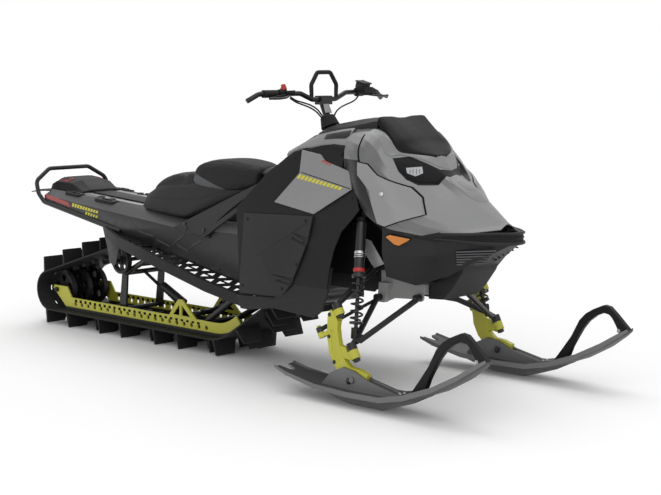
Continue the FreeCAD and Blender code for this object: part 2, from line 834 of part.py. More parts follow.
# Spindle: C-shaped casting between the two arm joints, with the tie rod's arm behind.
def build_spindle():
    near = stance_half - spindle_half_thickness
    far = stance_half + spindle_half_thickness
    outline = [
        (
            900.0, 377.0,
        ), (850.0, 372.0), (834.0, 345.0), (831.0, 292.0), (829.0, 262.0), (836.0, 235.0), (840.0, 200.0), (866.0, 150.0), (896.0, 121.0),
        (925.0, 92.0), (1040.0, 90.0), (
            1057.0, 131.0,
        ), (1010.0, 145.0), (961.0, 149.0), (935.0, 168.0), (918.0, 190.0),
        (905.0, 215.0), (894.0, 258.0), (888.0, 299.0), (893.0, 335.0),
    ]
    web = side_prism(outline, near, far)
    recess = side_prism(
        [
            (850.0, 290.0), (874.0, 290.0), (886.0, 215.0), (905.0, 170.0), (878.0, 172.0),
            (856.0, 205.0),
        ],
        far - 5.0, far + 1.0,
    )
    lower = pin(on_kingpin(-30.0), on_kingpin(8.0), 20.0)
    bridge = side_prism(
        [(897.0, 184.0), (972.0, 176.0), (985.0, 205.0), (960.0, 224.0), (895.0, 232.0)], near + 3.0,
        far - 3.0,
    )
    upper = pin(on_kingpin(160.0), on_kingpin(186.0), 20.0)
    tie_boss = pin(
        on_kingpin(steering_arm_level - 24.0, steering_arm_radius, crank_eye_y),
        on_kingpin(steering_arm_level, steering_arm_radius, crank_eye_y), 14.0,
    )
    arm = Part.Face(polygon([
        on_kingpin(
            steering_arm_level - 22.0, steering_arm_radius, crank_eye_y - 12.0,
        ), on_kingpin(steering_arm_level - 22.0, steering_arm_radius, crank_eye_y + 12.0),
        on_kingpin(steering_arm_level - 22.0, 84.0, 12.0), on_kingpin(
            steering_arm_level - 22.0, 84.0, -12.0,
        ),
    ])).extrude(pin_up * 18.0)
    stud = pin(
        on_kingpin(steering_arm_level - 4.0, steering_arm_radius, crank_eye_y),
        on_kingpin(steering_arm_level + 25.0, steering_arm_radius, crank_eye_y), tie_stud_radius,
    )
    nut = pin(
        on_kingpin(steering_arm_level + 21.0, steering_arm_radius, crank_eye_y),
        on_kingpin(steering_arm_level + 29.0, steering_arm_radius, crank_eye_y), 9.0,
    )
    body = fused([web, bridge, lower, upper, tie_boss, arm, stud, nut])
    bores = [
        pin(on_kingpin(-40.0), on_kingpin(20.0), stud_radius + fit_clearance),
        pin(on_kingpin(150.0), on_kingpin(196.0), stud_radius + fit_clearance),
        rod(
            (ski_pivot_x, near - 5.0, ski_pivot_z), (ski_pivot_x, far + 5.0, ski_pivot_z),
            ski_pivot_radius + fit_clearance,
        ),
        pin(on_kingpin(8.0), on_kingpin(44.0), 27.0),
        pin(on_kingpin(186.0), on_kingpin(220.0), 27.0),
        pin(on_kingpin(-60.0), on_kingpin(-30.0), 19.0),
        pin(on_kingpin(140.0), on_kingpin(160.0), 19.0),
        recess,
    ]
    return trimmed(body, bores)


spindle = build_spindle()
save("spindle_left", spindle)
save("spindle_right", mirrored(spindle))


# Tie rod: an eye on the spindle's stud and an eye on the crank's stud.
def build_tie_rod():
    outer_low = on_kingpin(steering_arm_level + 0.3, steering_arm_radius, crank_eye_y)
    outer_high = on_kingpin(steering_arm_level + 20.7, steering_arm_radius, crank_eye_y)
    inner_low = on_crank(-12.0, steering_arm_radius, crank_eye_y)
    inner_high = on_crank(8.7, steering_arm_radius, crank_eye_y)
    outer_middle = (outer_low + outer_high) * 0.5
    inner_middle = (inner_low + inner_high) * 0.5
    along = (inner_middle - outer_middle).normalize()
    shank = pin(outer_middle + along * 6.0, inner_middle - along * 6.0, tie_rod_radius)
    collars = [
        pin(outer_middle + along * 12.0, outer_middle + along * 44.0, 9.5),
        pin(inner_middle - along * 30.0, inner_middle - along * 12.0, 9.0),
    ]
    body = fused([pin(outer_low, outer_high, 14.0), pin(inner_low, inner_high, 13.0), shank] + collars)
    return body.cut(
        pin(outer_low - pin_up * 2.0, outer_high + pin_up * 2.0, tie_stud_radius + fit_clearance),
    ).cut(pin(inner_low - pin_up * 2.0, inner_high + pin_up * 2.0, tie_stud_radius + fit_clearance))


tie_rod = build_tie_rod()
save("tie_rod_left", tie_rod)
save("tie_rod_right", mirrored(tie_rod))


# Front arms: a lower and an upper wishbone each side, with the ball studs they carry.
shock_low = (935.0, 412.0, 292.0)
shock_high = (862.0, 300.0, 724.0)


def build_lower_arm():
    housing = pin(on_kingpin(8.3), on_kingpin(38.0), 20.0)
    stud = pin(on_kingpin(-44.0), on_kingpin(20.0), stud_radius)
    nut = pin(on_kingpin(-42.0), on_kingpin(-30.3), 15.0)
    knuckle = loft_sections([
        [(951.0, 446.0, 238.0), (978.0, 446.0, 242.0), (972.0, 446.0, 254.0), (941.0, 446.0, 249.0)],
        [(942.0, 404.0, 248.0), (976.0, 404.0, 254.0), (968.0, 404.0, 276.0), (930.0, 404.0, 274.0)],
    ])
    front = rod((964.0, 420.0, 250.0), (1040.0, 142.0, 404.0), arm_tube_radius)
    rear = rod((948.0, 420.0, 262.0), (834.0, 175.0, 388.0), arm_tube_radius)
    front_eye = rod((1040.0, 140.3, 404.0), (1040.0, 170.0, 404.0), 15.0)
    rear_eye = rod((834.0, 158.3, 388.0), (834.0, 186.0, 388.0), 15.0)
    lug = side_prism([(920.0, 262.0), (952.0, 262.0), (947.0, 302.0), (923.0, 302.0)], 404.0, 409.0)
    lug_far = side_prism([(920.0, 256.0), (952.0, 256.0), (947.0, 302.0), (923.0, 302.0)], 421.0, 426.0)
    bolt = rod((935.0, 402.0, 292.0), (935.0, 428.0, 292.0), 6.0)
    return fused([housing, stud, nut, knuckle, front, rear, front_eye, rear_eye, lug, lug_far, bolt])


def build_upper_arm():
    housing = pin(on_kingpin(186.3), on_kingpin(212.0), 20.0)
    stud = pin(on_kingpin(147.0), on_kingpin(200.0), stud_radius)
    nut = pin(on_kingpin(149.0), on_kingpin(159.7), 15.0)
    outer = on_kingpin(200.0)
    front = rod((outer.x - 10.0, outer.y - 12.0, outer.z), (840.0, 160.0, 524.0), 10.0)
    rear = rod((outer.x - 15.0, outer.y - 14.0, outer.z), (794.0, 160.0, 514.0), 10.0)
    eye = rod((784.0, 160.0, 512.0), (852.0, 160.0, 527.0), 11.0)
    return fused([housing, stud, nut, front, rear, eye])


arms = [build_lower_arm(), build_upper_arm()]
front_arms = [trimmed(arm, [bulkhead]) for arm in arms]
save("front_arms", Part.Compound(front_arms + [mirrored(arm) for arm in front_arms]))


# Front shocks: rod, body and eyes along one line, and their coil springs.
def along_line(start, end, distance):
    a = Vector(*start)
    b = Vector(*end)
    return a + (b - a).normalize() * distance


shock_length = (Vector(*shock_high) - Vector(*shock_low)).Length


def shock_point(distance):
    return along_line(shock_low, shock_high, distance)


def build_shock():
    low_eye = rod((shock_low[0], 409.3, shock_low[2]), (shock_low[0], 420.7, shock_low[2]), 11.0)
    piston = pin(shock_point(8.0), shock_point(240.0), 8.0)
    body = pin(shock_point(226.0), shock_point(shock_length - 10.0), 21.0)
    seat_low = pin(shock_point(24.0), shock_point(32.0), 28.0)
    collar = pin(shock_point(214.0), shock_point(226.0), 29.0)
    high_eye = rod(
        (shock_high[0], shock_high[1] - 12.0, shock_high[2]),
        (shock_high[0], shock_high[1] + 12.0, shock_high[2]), 15.0,
    )
    whole = fused([low_eye, piston, body, seat_low, collar, high_eye])
    return trimmed(whole, [front_arms[0], bulkhead])


front_shock = build_shock()
save("front_shocks", both_sides(front_shock))


def build_spring(start, end, radius, wire_radius, turns):
    height = (end - start).Length
    helix = Part.makeHelix(height / turns, height, radius)
    section = Part.Wire(Part.makeCircle(wire_radius, Vector(radius, 0, 0), Vector(0, 1, 0)))
    coil = helix.makePipeShell([section], True, True)
    coil.Placement = FreeCAD.Placement(start, FreeCAD.Rotation(Vector(0, 0, 1), end - start))
    return coil


front_spring = build_spring(
    shock_point(37.0), shock_point(209.0), spring_radius, spring_wire, spring_turns,
)
save("front_springs", both_sides(front_spring))


# Ski: bowed runner with side rails, a deep keel and a saddle for the spindle.
ski_stations = [
    (561.0, 58.0, 96.0, 108.0),
    (640.0, 66.0, 74.0, 90.0),
    (820.0, 80.0, 46.0, 66.0),
    (1000.0, ski_half_width, 38.0, 60.0),
    (1180.0, ski_half_width, 42.0, 64.0),
    (1300.0, 82.0, 66.0, 90.0),
    (1440.0, 74.0, 118.0, 140.0),
    (1550.0, 58.0, 176.0, 197.0),
    (1630.0, 38.0, 230.0, 248.0),
    (1664.0, 20.0, 256.0, 268.0),
]


def ski_section(x, half, low, high):
    return [
        (
            x, stance_half - half, low + 6.0,
        ), (x, stance_half - half * 0.5, low), (x, stance_half + half * 0.5, low), (x, stance_half + half, low + 6.0),
        (x, stance_half + half, high + 8.0), (
            x, stance_half + half * 0.82, high,
        ), (x, stance_half - half * 0.82, high), (x, stance_half - half, high + 8.0),
    ]


def ski_top(x):
    for one, two in zip(ski_stations, ski_stations[1:]):
        if x <= two[0]:
            share = (x - one[0]) / (two[0] - one[0])
            return one[3] + (two[3] - one[3]) * share
    return ski_stations[-1][3]


def build_ski():
    blade = loft_sections([ski_section(*station) for station in ski_stations])
    keel_outline = [
        (640.0, 80.0), (760.0, 44.0), (890.0, 10.0), (960.0, 0.0), (1130.0, 0.0), (
            1205.0, 22.0,
        ), (1290.0, 50.0), (1390.0, 98.0),
        (1320.0, 86.0), (1180.0, 54.0), (820.0, 54.0),
    ]
    keel = side_prism(keel_outline, stance_half - 13.0, stance_half + 13.0)
    notch = plan_prism(
        [
            (550.0, stance_half - 26.0), (610.0, stance_half - 14.0), (626.0, stance_half),
            (610.0, stance_half + 14.0), (550.0, stance_half + 26.0),
        ],
        60.0, 140.0,
    )
    inner = spindle_half_thickness + seat_gap
    flange = [
        (800.0, 58.0), (860.0, 118.0), (930.0, 148.0), (990.0, 140.0), (1060.0, 112.0), (1240.0, 76.0),
        (1240.0, 58.0),
    ]
    sides = [
        side_prism(
            flange, stance_half + side * inner, stance_half + side * (inner + 11.0),
        ) for side in (-1, 1)
    ]
    rubber_front = side_prism(
        [(1062.0, 60.0), (1066.0, 104.0), (1110.0, 96.0), (1240.0, 70.0), (1240.0, 60.0)],
        stance_half - inner, stance_half + inner,
    )
    rubber_rear = side_prism(
        [(806.0, 58.0), (826.0, 86.0), (888.0, 86.0), (888.0, 58.0)], stance_half - inner,
        stance_half + inner,
    )
    bolt = rod(
        (ski_pivot_x, stance_half - inner - 20.0, ski_pivot_z),
        (ski_pivot_x, stance_half + inner + 20.0, ski_pivot_z), ski_pivot_radius,
    )
    heads = [
        rod(
            (ski_pivot_x, stance_half + side * (inner + 11.0), ski_pivot_z),
            (ski_pivot_x, stance_half + side * (inner + 20.0), ski_pivot_z), 13.0,
        ) for side in (-1, 1)
    ]
    return fused([blade.fuse(keel).cut(notch), rubber_front, rubber_rear, bolt] + sides + heads)


ski = build_ski()
save("ski_left", ski)
save("ski_right", mirrored(ski))

# Lifting loop on the ski's tip: a flat band standing on edge.
loop_outer = [
    (1278.0, 84.0), (1330.0, 150.0), (1374.0, 208.0), (1415.0, 282.0), (1446.0, 313.0), (1483.0, 335.0),
    (
        1538.0, 359.0,
    ), (1566.0, 354.0), (1593.0, 332.0), (1632.0, 296.0), (1665.0, 266.0), (1652.0, 250.0), (1630.0, 236.0),
]
loop_inner = [
    (
        1606.0, 232.0,
    ), (1614.0, 250.0), (1598.0, 280.0), (1582.0, 304.0), (1566.0, 320.0), (1538.0, 325.0),
    (1500.0, 310.0), (1460.0, 280.0), (1430.0, 244.0), (1404.0, 202.0), (1380.0, 162.0), (1352.0, 96.0),
]
ski_handle = side_prism(loop_outer + loop_inner, stance_half - 13.0, stance_half + 13.0)
ski_handle = trimmed(ski_handle, [ski])
save("ski_handle_left", ski_handle)
save("ski_handle_right", mirrored(ski_handle))


# Skid arms: tubular arms from the tunnel's pivots to the rails.
def cross_shaft(x, z, half, radius):
    return rod((x, -half, z), (x, half, z), radius)


inner_wall = tunnel_half_width - tunnel_sheet - seat_gap
rail_inner = rail_half_track - rail_thickness / 2.0 - seat_gap
linkage_x = -955.0
linkage_z = 316.0
foot_x = -980.0
rear_arm = [
    cross_shaft(rear_pivot_x, rear_pivot_z, inner_wall, 11.0),
    rod((rear_pivot_x, 178.0, rear_pivot_z), (linkage_x, 112.0, linkage_z), 14.0),
    rod((rear_pivot_x, -178.0, rear_pivot_z), (linkage_x, -112.0, linkage_z), 14.0),
    cross_shaft(linkage_x, linkage_z, 126.0, 12.0),
    cross_shaft(-800.0, 376.0, 148.0, 10.0),
]
for side in (-1, 1):
    link = side_prism(
        [
            (linkage_x - 20.0, linkage_z + 10.0), (linkage_x + 20.0, linkage_z + 10.0),
            (foot_x + 26.0, rail_bottom + 20.0), (foot_x - 26.0, rail_bottom + 20.0),
        ],
        side * 110.0, side * 122.0,
    )
    rear_arm.append(link)
rear_arm.append(cross_shaft(foot_x, rail_bottom + 32.0, rail_inner, 11.0))
front_foot_x = -345.0
front_foot_z = rail_bottom + 36.0
front_arm = [
    cross_shaft(front_pivot_x, front_pivot_z, inner_wall, 12.0),
    cross_shaft(front_foot_x, front_foot_z, rail_inner, 12.0),
    cross_shaft(-110.0, 292.0, 140.0, 10.0),
]
for side in (-1, 1):
    front_arm.append(
        rod(
            (front_pivot_x, side * 186.0, front_pivot_z), (front_foot_x, side * 112.0, front_foot_z),
            15.0,
        ),
    )
rear_mount = cross_shaft(-600.0, rail_bottom + 32.0, rail_inner, 11.0)
rear_shock = [
    rod((linkage_x + 2.0, 0.0, linkage_z), (-600.0, 0.0, rail_bottom + 34.0), 8.0),
    rod((-800.0, 0.0, 256.0), (-640.0, 0.0, 186.0), 20.0),
]
centre_shock = [
    rod((front_pivot_x - 150.0, 0.0, 318.0), (-470.0, 0.0, rail_bottom + 60.0), 9.0),
    rod((-160.0, 0.0, 292.0), (-330.0, 0.0, 226.0), 21.0),
    cross_shaft(front_pivot_x - 140.0, 318.0, 168.0, 10.0),
    cross_shaft(-470.0, rail_bottom + 60.0, 30.0, 13.0),
]
limiter_post = [
    rod(
        (-470.0, side * 26.0, rail_bottom + 60.0), (-470.0, side * (rail_inner), rail_bottom + 34.0),
        9.0,
    ) for side in (-1, 1)
]
skid_arm_rear = rear_arm[0].multiFuse(rear_arm[1:] + [rear_mount] + rear_shock)
rails = [slide_rail, mirrored(slide_rail)]
skid_arm_rear = trimmed(skid_arm_rear, rails)
save("skid_arm_rear", skid_arm_rear)
skid_arm_front = front_arm[0].multiFuse(front_arm[1:] + centre_shock + limiter_post)
skid_arm_front = trimmed(skid_arm_front, rails)
save("skid_arm_front", skid_arm_front)


# Frame struts: flat braces from the tunnel's sides up to a collar round the steering column.
column_up = Vector(-math.sin(math.radians(column_lean)), 0, math.cos(math.radians(column_lean)))
column_mid = Vector(column_x, 0, column_z)


def on_column(level):
    return column_mid + column_up * level


def build_strut():
    brace = side_prism(
        [
            (-428.0, 596.0), (-200.0, 566.0), (84.0, 730.0), (330.0, 902.0), (300.0, 920.0),
            (176.0, 838.0),
        ],
        222.0, 238.0,
    )
    foot = side_prism(
        [(-400.0, 590.0), (-180.0, 572.0), (-190.0, 560.0), (-400.0, 578.0)], tunnel_half_width, 226.0,
    )
    bolts = [rod((x, tunnel_half_width, z), (x, 243.0, z), 9.0) for x, z in ((-330.0, 598.0), (-205.0, 590.0))]
    window = side_prism([(-120.0, 640.0), (40.0, 728.0), (90.0, 770.0), (-20.0, 706.0)], 215.0, 245.0)
    return fused([brace, foot] + bolts).cut(window)


strut = build_strut()
collar = sleeve(on_column(-190.0), on_column(-150.0), 34.0, column_radius + fit_clearance)
collar_arms = [rod((455.0, side * 28.0, 936.0), (318.0, side * 232.0, 906.0), 12.0) for side in (-1, 1)]
front_legs = [rod((474.0, side * 26.0, 930.0), (868.0, side * 200.0, 756.0), 12.0) for side in (-1, 1)]
frame_struts = fused([collar, strut, mirrored(strut)] + collar_arms + front_legs)
column_gaps = [
    pin(on_column(-240.0), on_column(-100.0), column_radius + fit_clearance),
    pin(on_column(-202.0), on_column(-190.0), 30.0),
    pin(on_column(-150.0), on_column(-136.0), 30.0),
]
frame_struts = trimmed(
    frame_struts, [tunnel_outer, bulkhead, front_shock, mirrored(front_shock)] + column_gaps,
)
save("frame_struts", frame_struts)


# Side bodywork: each point of an outline in side view is put on the body's leaning planes.
def upper_plane(x, z):
    return body_waist_y - body_upper_lean * (z - body_waist_z)


def lower_plane(x, z):
    return body_waist_y + body_lower_lean * (body_waist_z - z)


def guard_plane(x, z):
    return 380.0 + 0.35 * (430.0 - z)


def marker_plane(x, z):
    return 311.0 - 0.33 * (x - 1006.0)


def panel(outline, plane, proud, depth):
    face = Part.Face(polygon([Vector(x, plane(x, z) + proud, z) for x, z in outline]))
    return face.extrude(Vector(0, -depth, 0))


side_upper = [
    (391.0, 985.0), (479.0, 996.0), (552.0, 1018.0), (694.0, 1010.0), (700.0, 936.0), (823.0, 840.0),
    (880.0, 768.0), (862.0, 735.0), (150.0, 735.0), (272.0, 893.0),
]
side_lower = [
    (862.0, 735.0), (800.0, 675.0), (765.0, 600.0), (745.0, 520.0), (735.0, 403.0), (702.0, 363.0),
    (205.0, 363.0), (150.0, 735.0),
]
guard_outline = [
    (
        205.0, 358.0,
    ), (437.0, 369.0), (520.0, 422.0), (640.0, 500.0), (735.0, 520.0), (744.0, 420.0), (735.0, 345.0),
    (700.0, 314.0), (620.0, 318.0), (446.0, 327.0), (293.0, 305.0), (250.0, 305.0),
]
upper_panel_outline = [
    (
        383.0, 772.0,
    ), (640.0, 738.0), (806.0, 846.0), (762.0, 916.0), (716.0, 926.0), (600.0, 952.0), (560.0, 978.0),
    (441.0, 992.0), (474.0, 898.0),
]
lower_panel_outline = [
    (
        215.0, 715.0,
    ), (640.0, 729.0), (621.0, 637.0), (600.0, 580.0), (558.0, 488.0), (533.0, 435.0), (500.0, 396.0),
    (466.0, 377.0), (437.0, 374.0), (210.0, 366.0),
]
panel_slots = [
    [
        (530.0, 651.0), (627.0, 637.0), (612.0, 602.0), (518.0, 629.0), (530.0, 636.0), (590.0, 614.0),
        (596.0, 626.0),
    ],
    [
        (415.0, 467.0), (566.0, 459.0), (540.0, 427.0), (440.0, 443.0), (450.0, 448.0), (528.0, 438.0),
        (536.0, 449.0),
    ],
]


def build_side_body():
    upper = panel(side_upper, upper_plane, 0.0, panel_sheet)
    lower = panel(side_lower, lower_plane, 0.0, panel_sheet)
    rear_edge = [(272.0, 893.0), (150.0, 735.0), (205.0, 363.0)]
    closing = []
    inner = 236.0
    for one, two in zip(rear_edge, rear_edge[1:]):
        plane = upper_plane if one[1] > body_waist_z else lower_plane
        quad = [
            (one[0], inner, one[1]), (one[0], plane(*one) - 1.0, one[1]),
            (two[0], plane(*two) - 1.0, two[1]), (two[0], inner, two[1]),
        ]
        closing.append(
            Part.Face(polygon([Vector(*p) for p in quad])).extrude(Vector(panel_sheet, 0, 0))
        )
    return fused([upper, lower] + closing)


side_body = trimmed(build_side_body(), [tunnel_outer, strut, board])
save("side_body_left", side_body)
save("side_body_right", mirrored(side_body))
upper_panel = panel(upper_panel_outline, upper_plane, 9.0, 9.0)
save("upper_panel_left", upper_panel)
save("upper_panel_right", mirrored(upper_panel))
lower_panel = panel(lower_panel_outline, lower_plane, 12.0, 12.0)
for slot in panel_slots:
    lower_panel = lower_panel.cut(panel(slot, lower_plane, 14.0, 7.0))
save("lower_panel_left", lower_panel)
save("lower_panel_right", mirrored(lower_panel))
guard = trimmed(panel(guard_outline, guard_plane, 0.0, 14.0), [side_body, lower_panel, board])
save("toe_guard_left", guard)
save("toe_guard_right", mirrored(guard))


# Shell lofted through half sections, open where its ends are open.
def hollow_loft(stations, sheet, open_ends):
    outer = loft_sections([symmetric_section(x, half) for x, half in stations])
    inner = []
    last = len(stations) - 1
    for i, (x, half) in enumerate(stations):
        shift = 0.0
        if i == 0:
            shift = -2.0 * sheet if "rear" in open_ends else sheet
        if i == last:
            shift = 2.0 * sheet if "front" in open_ends else -sheet
        low = min(z for y, z in half)
        shrunk = []
        for y, z in half:
            down = 3.0 * sheet if z == low and "bottom" in open_ends else -sheet
            shrunk.append(
                (
                    max(y - sheet, 0.0) if y > 0 else 0.0,
                    z + sheet if z == low and "bottom" not in open_ends else z - sheet if z != low else z - down,
                ),
            )
        inner.append(symmetric_section(x + shift, shrunk))
    return outer.cut(loft_sections(inner))


hood_stations = [
    (700.0, [
        (240.0, 936.0), (238.0, 968.0), (236.0, 1000.0), (229.0, 1022.0), (218.0, 1044.0),
        (200.0, 1062.0), (178.0, 1076.0), (150.0, 1086.0), (0.0, 1100.0),
    ]),
    (812.0, [
        (296.0, 850.0), (293.0, 900.0), (288.0, 945.0), (276.0, 985.0), (255.0, 1022.0),
        (228.0, 1052.0), (196.0, 1074.0), (160.0, 1090.0), (0.0, 1110.0),
    ]),
    (880.0, [
        (310.0, 765.0), (305.0, 830.0), (297.0, 890.0), (280.0, 935.0), (258.0, 972.0),
        (232.0, 1006.0), (204.0, 1036.0), (172.0, 1060.0), (0.0, 1092.0),
    ]),
    (945.0, [
        (312.0, 722.0), (308.0, 780.0), (300.0, 835.0), (283.0, 880.0), (262.0, 915.0),
        (234.0, 945.0), (194.0, 967.0), (158.0, 1000.0), (0.0, 1030.0),
    ]),
    (1020.0, [
        (308.0, 700.0), (303.0, 745.0), (293.0, 790.0), (268.0, 830.0), (235.0, 862.0),
        (185.0, 892.0), (143.0, 925.0), (95.0, 972.0), (0.0, 990.0),
    ]),
    (1100.0, [
        (285.0, 688.0), (278.0, 705.0), (262.0, 730.0), (232.0, 765.0), (190.0, 803.0),
        (140.0, 838.0), (80.0, 872.0), (58.0, 898.0), (0.0, 912.0),
    ]),
    (1200.0, [
        (225.0, 672.0), (216.0, 684.0), (202.0, 700.0), (180.0, 722.0), (150.0, 750.0),
        (112.0, 782.0), (75.0, 812.0), (45.0, 840.0), (0.0, 862.0),
    ]),
    (1290.0, [
        (150.0, 688.0), (144.0, 692.0), (138.0, 696.0), (126.0, 703.0), (110.0, 714.0),
        (88.0, 730.0), (66.0, 750.0), (38.0, 776.0), (0.0, 796.0),
    ]),
    (1385.0, [
        (46.0, 702.0), (43.0, 704.0), (40.0, 706.0), (36.0, 708.0), (31.0, 711.0),
        (25.0, 714.0), (18.0, 717.0), (10.0, 720.0), (0.0, 722.0),
    ]),
]
hood = hollow_loft(hood_stations, shell_sheet, ("rear", "bottom"))
print("hood", hood.isValid(), len(hood.Solids))

pan_stations = [
    (985.0, [(0.0, 470.0), (286.0, 500.0), (312.0, 600.0), (310.0, 704.0)]),
    (1100.0, [(0.0, 458.0), (235.0, 470.0), (275.0, 590.0), (287.0, 686.0)]),
    (1200.0, [(0.0, 505.0), (150.0, 508.0), (215.0, 600.0), (232.0, 668.0)]),
    (1300.0, [(0.0, 572.0), (90.0, 574.0), (135.0, 630.0), (148.0, 668.0)]),
    (1420.0, [(0.0, 640.0), (26.0, 641.0), (44.0, 660.0), (50.0, 676.0)]),
]


def pan_section(x, half, sheet, lift):
    right = [(x, -(y - sheet) if y > 0 else 0.0, z + lift if i < 2 else z) for i, (y, z) in enumerate(half)]
    left = [(x, -py, pz) for px, py, pz in reversed(right) if py < 0]
    return right + left


pan_outer = loft_sections([pan_section(x, half, 0.0, 0.0) for x, half in pan_stations])
pan_inner_stations = [(x, [(y, z + (30.0 if i == 3 else 0.0)) for i, (y, z) in enumerate(half)]) for x, half in pan_stations]
pan_inner = loft_sections([pan_section(x + (-10.0 if k == 0 else -8.0 if k == 4 else 0.0), half, shell_sheet, shell_sheet) for k, (x, half) in enumerate(pan_inner_stations)])
belly_outline = [
    (
        1062.3, 398.0,
    ), (1140.0, 402.0), (1186.0, 448.0), (1238.0, 516.0), (1250.0, 545.0), (1180.0, 530.0), (1062.3, 500.0),
]
belly = side_prism(belly_outline, -112.0, 112.0).cut(pan_inner)
pan = pan_outer.cut(pan_inner).fuse(belly).removeSplitter()
print("pan", pan.isValid(), len(pan.Solids))
nose_bumper = loft_sections([
    [
        (1196.0, -238.0, 660.0), (1210.0, -212.0, 660.0), (1210.0, -212.0, 688.0),
        (1196.0, -238.0, 690.0),
    ],
    [
        (1330.0, -132.0, 650.0), (1318.0, -112.0, 650.0), (1318.0, -112.0, 690.0),
        (1330.0, -132.0, 692.0),
    ],
    [(1432.0, -40.0, 644.0), (1412.0, -30.0, 644.0), (1412.0, -30.0, 690.0), (1432.0, -40.0, 692.0)],
    [(1438.0, 0.0, 642.0), (1418.0, 0.0, 642.0), (1418.0, 0.0, 690.0), (1438.0, 0.0, 692.0)],
    [(1432.0, 40.0, 644.0), (1412.0, 30.0, 644.0), (1412.0, 30.0, 690.0), (1432.0, 40.0, 692.0)],
    [(1330.0, 132.0, 650.0), (1318.0, 112.0, 650.0), (1318.0, 112.0, 690.0), (1330.0, 132.0, 692.0)],
    [(1196.0, 238.0, 660.0), (1210.0, 212.0, 660.0), (1210.0, 212.0, 688.0), (1196.0, 238.0, 690.0)],
])
body_sides = [
    side_body, mirrored(side_body), upper_panel, mirrored(upper_panel), lower_panel,
    mirrored(lower_panel),
]
pan = trimmed(pan, [bulkhead, front_shock, mirrored(front_shock)] + body_sides)
save("nose_pan", pan)
nose_bumper = trimmed(nose_bumper, [pan])
save("nose_bumper", nose_bumper)
hood = trimmed(hood, body_sides + [pan, nose_bumper])

# Side pods: raised plates beside the lamps, over the hood's flanks.
pod_outline = [
    (833.0, 959.0), (844.0, 908.0), (913.0, 848.0), (931.0, 796.0), (971.0, 711.0), (
        1005.0, 709.0,
    ), (1129.0, 758.0),
    (1089.0, 820.0), (1043.0, 860.0), (928.0, 909.0), (872.0, 951.0),
]
pod_block = side_prism(pod_outline, 150.0, 345.0)
pod_stations = [(x, [(y + (9.0 if y > 0 else 0.0), z + (0.0 if i == 0 else 5.0)) for i, (y, z) in enumerate(half)]) for x, half in hood_stations]
pod_skin = loft_sections([symmetric_section(x, half) for x, half in pod_stations]).cut(
    loft_sections([symmetric_section(x, half) for x, half in hood_stations])
)
pod = trimmed(pod_skin.common(pod_block), body_sides + [pan, hood])
save("side_pods", both_sides(pod))

# Lamps: a dark box sunk into each side of the nose, with a lens on its flat back.
lamp_out = Vector(0.695, 0.719, 0.02).normalize()
lamp_rim = [
    (944.0, 195.0, 973.0), (995.0, 145.0, 977.0), (
        1040.0, 103.0, 949.0,
    ), (1085.0, 60.0, 923.0), (1095.0, 51.0, 901.0),
    (1073.0, 73.0, 870.0), (1016.0, 128.0, 874.0), (984.0, 159.0, 893.0), (961.0, 180.0, 924.0),
]
lens_rim = [
    (980.0, 161.0, 936.0), (
        1028.0, 115.0, 941.0,
    ), (1031.0, 112.0, 914.0), (1009.0, 134.0, 901.0), (983.0, 158.0, 914.0),
]


def flattened(points, centre):
    return [Vector(*p) - lamp_out * (Vector(*p) - centre).dot(lamp_out) for p in points]


def lamp_prism(points, grow, inner, outer):
    centre = sum((Vector(*p) for p in points), Vector(0, 0, 0)) * (1.0 / len(points))
    flat = flattened(points, lamp_centre)
    spread = [p + (p - centre).normalize() * grow for p in flat]
    face = Part.Face(polygon([p + lamp_out * inner for p in spread]))
    return face.extrude(lamp_out * (outer - inner))


lamp_centre = sum((Vector(*p) for p in lamp_rim), Vector(0, 0, 0)) * (1.0 / len(lamp_rim))
hood_outer = loft_sections([symmetric_section(x, half) for x, half in hood_stations])
lens = lamp_prism(lens_rim, 0.0, -18.0, 3.0)
lamp_box = lamp_prism(lamp_rim, 6.0, -24.0, 140.0).common(hood_outer)
lamp_box = lamp_box.cut(lamp_prism(lamp_rim, 0.0, 0.0, 160.0)).cut(lens)
lamp_box = trimmed(lamp_box, body_sides)
lamp_room = lamp_prism(lamp_rim, 6.0, -24.0, 200.0)
hood = trimmed(hood, [lamp_room, mirrored(lamp_room)])
lens = trimmed(lens, [lamp_box])
save("lamp_boxes", both_sides(lamp_box))
save("headlamps", both_sides(lens))
save("hood", hood)

marker_outline = [(1006.0, 690.0), (1052.0, 691.0), (1142.0, 676.0), (1082.0, 648.0)]
marker = panel(marker_outline, marker_plane, 8.0, 22.0)
marker = trimmed(marker, [pan_outer, hood_outer, side_body, pod])
save("marker_lamps", both_sides(marker))

# Windshield: low dark visor rising rearwards off the hood.
windshield_stations = [
    (812.0, [(150.0, 1120.0), (148.0, 1138.0), (120.0, 1141.0), (60.0, 1140.0), (0.0, 1131.0)]),
    (865.0, [(157.0, 1070.0), (155.0, 1085.0), (120.0, 1098.0), (60.0, 1103.0), (0.0, 1101.0)]),
    (922.0, [(166.0, 1020.0), (164.0, 1036.0), (120.0, 1054.0), (60.0, 1061.0), (0.0, 1062.0)]),
    (955.0, [(157.0, 988.0), (154.0, 1002.0), (120.0, 1022.0), (60.0, 1034.0), (0.0, 1037.0)]),
    (1000.0, [(100.0, 980.0), (96.0, 992.0), (80.0, 998.0), (50.0, 1003.0), (0.0, 1006.0)]),
    (1034.0, [(34.0, 968.0), (30.0, 980.0), (22.0, 983.0), (10.0, 984.0), (0.0, 984.0)]),
]
windshield = loft_sections([symmetric_section(x, half) for x, half in windshield_stations])
windshield_inner = []
for i, (x, half) in enumerate(windshield_stations):
    shift = -12.0 if i == 0 else -6.0 if i == len(windshield_stations) - 1 else 0.0
    windshield_inner.append(
        symmetric_section(
            x + shift,
            [(max(y - 4.0, 0.0), z - (30.0 if k == 0 else 4.0)) for k, (y, z) in enumerate(half)],
        )
    )
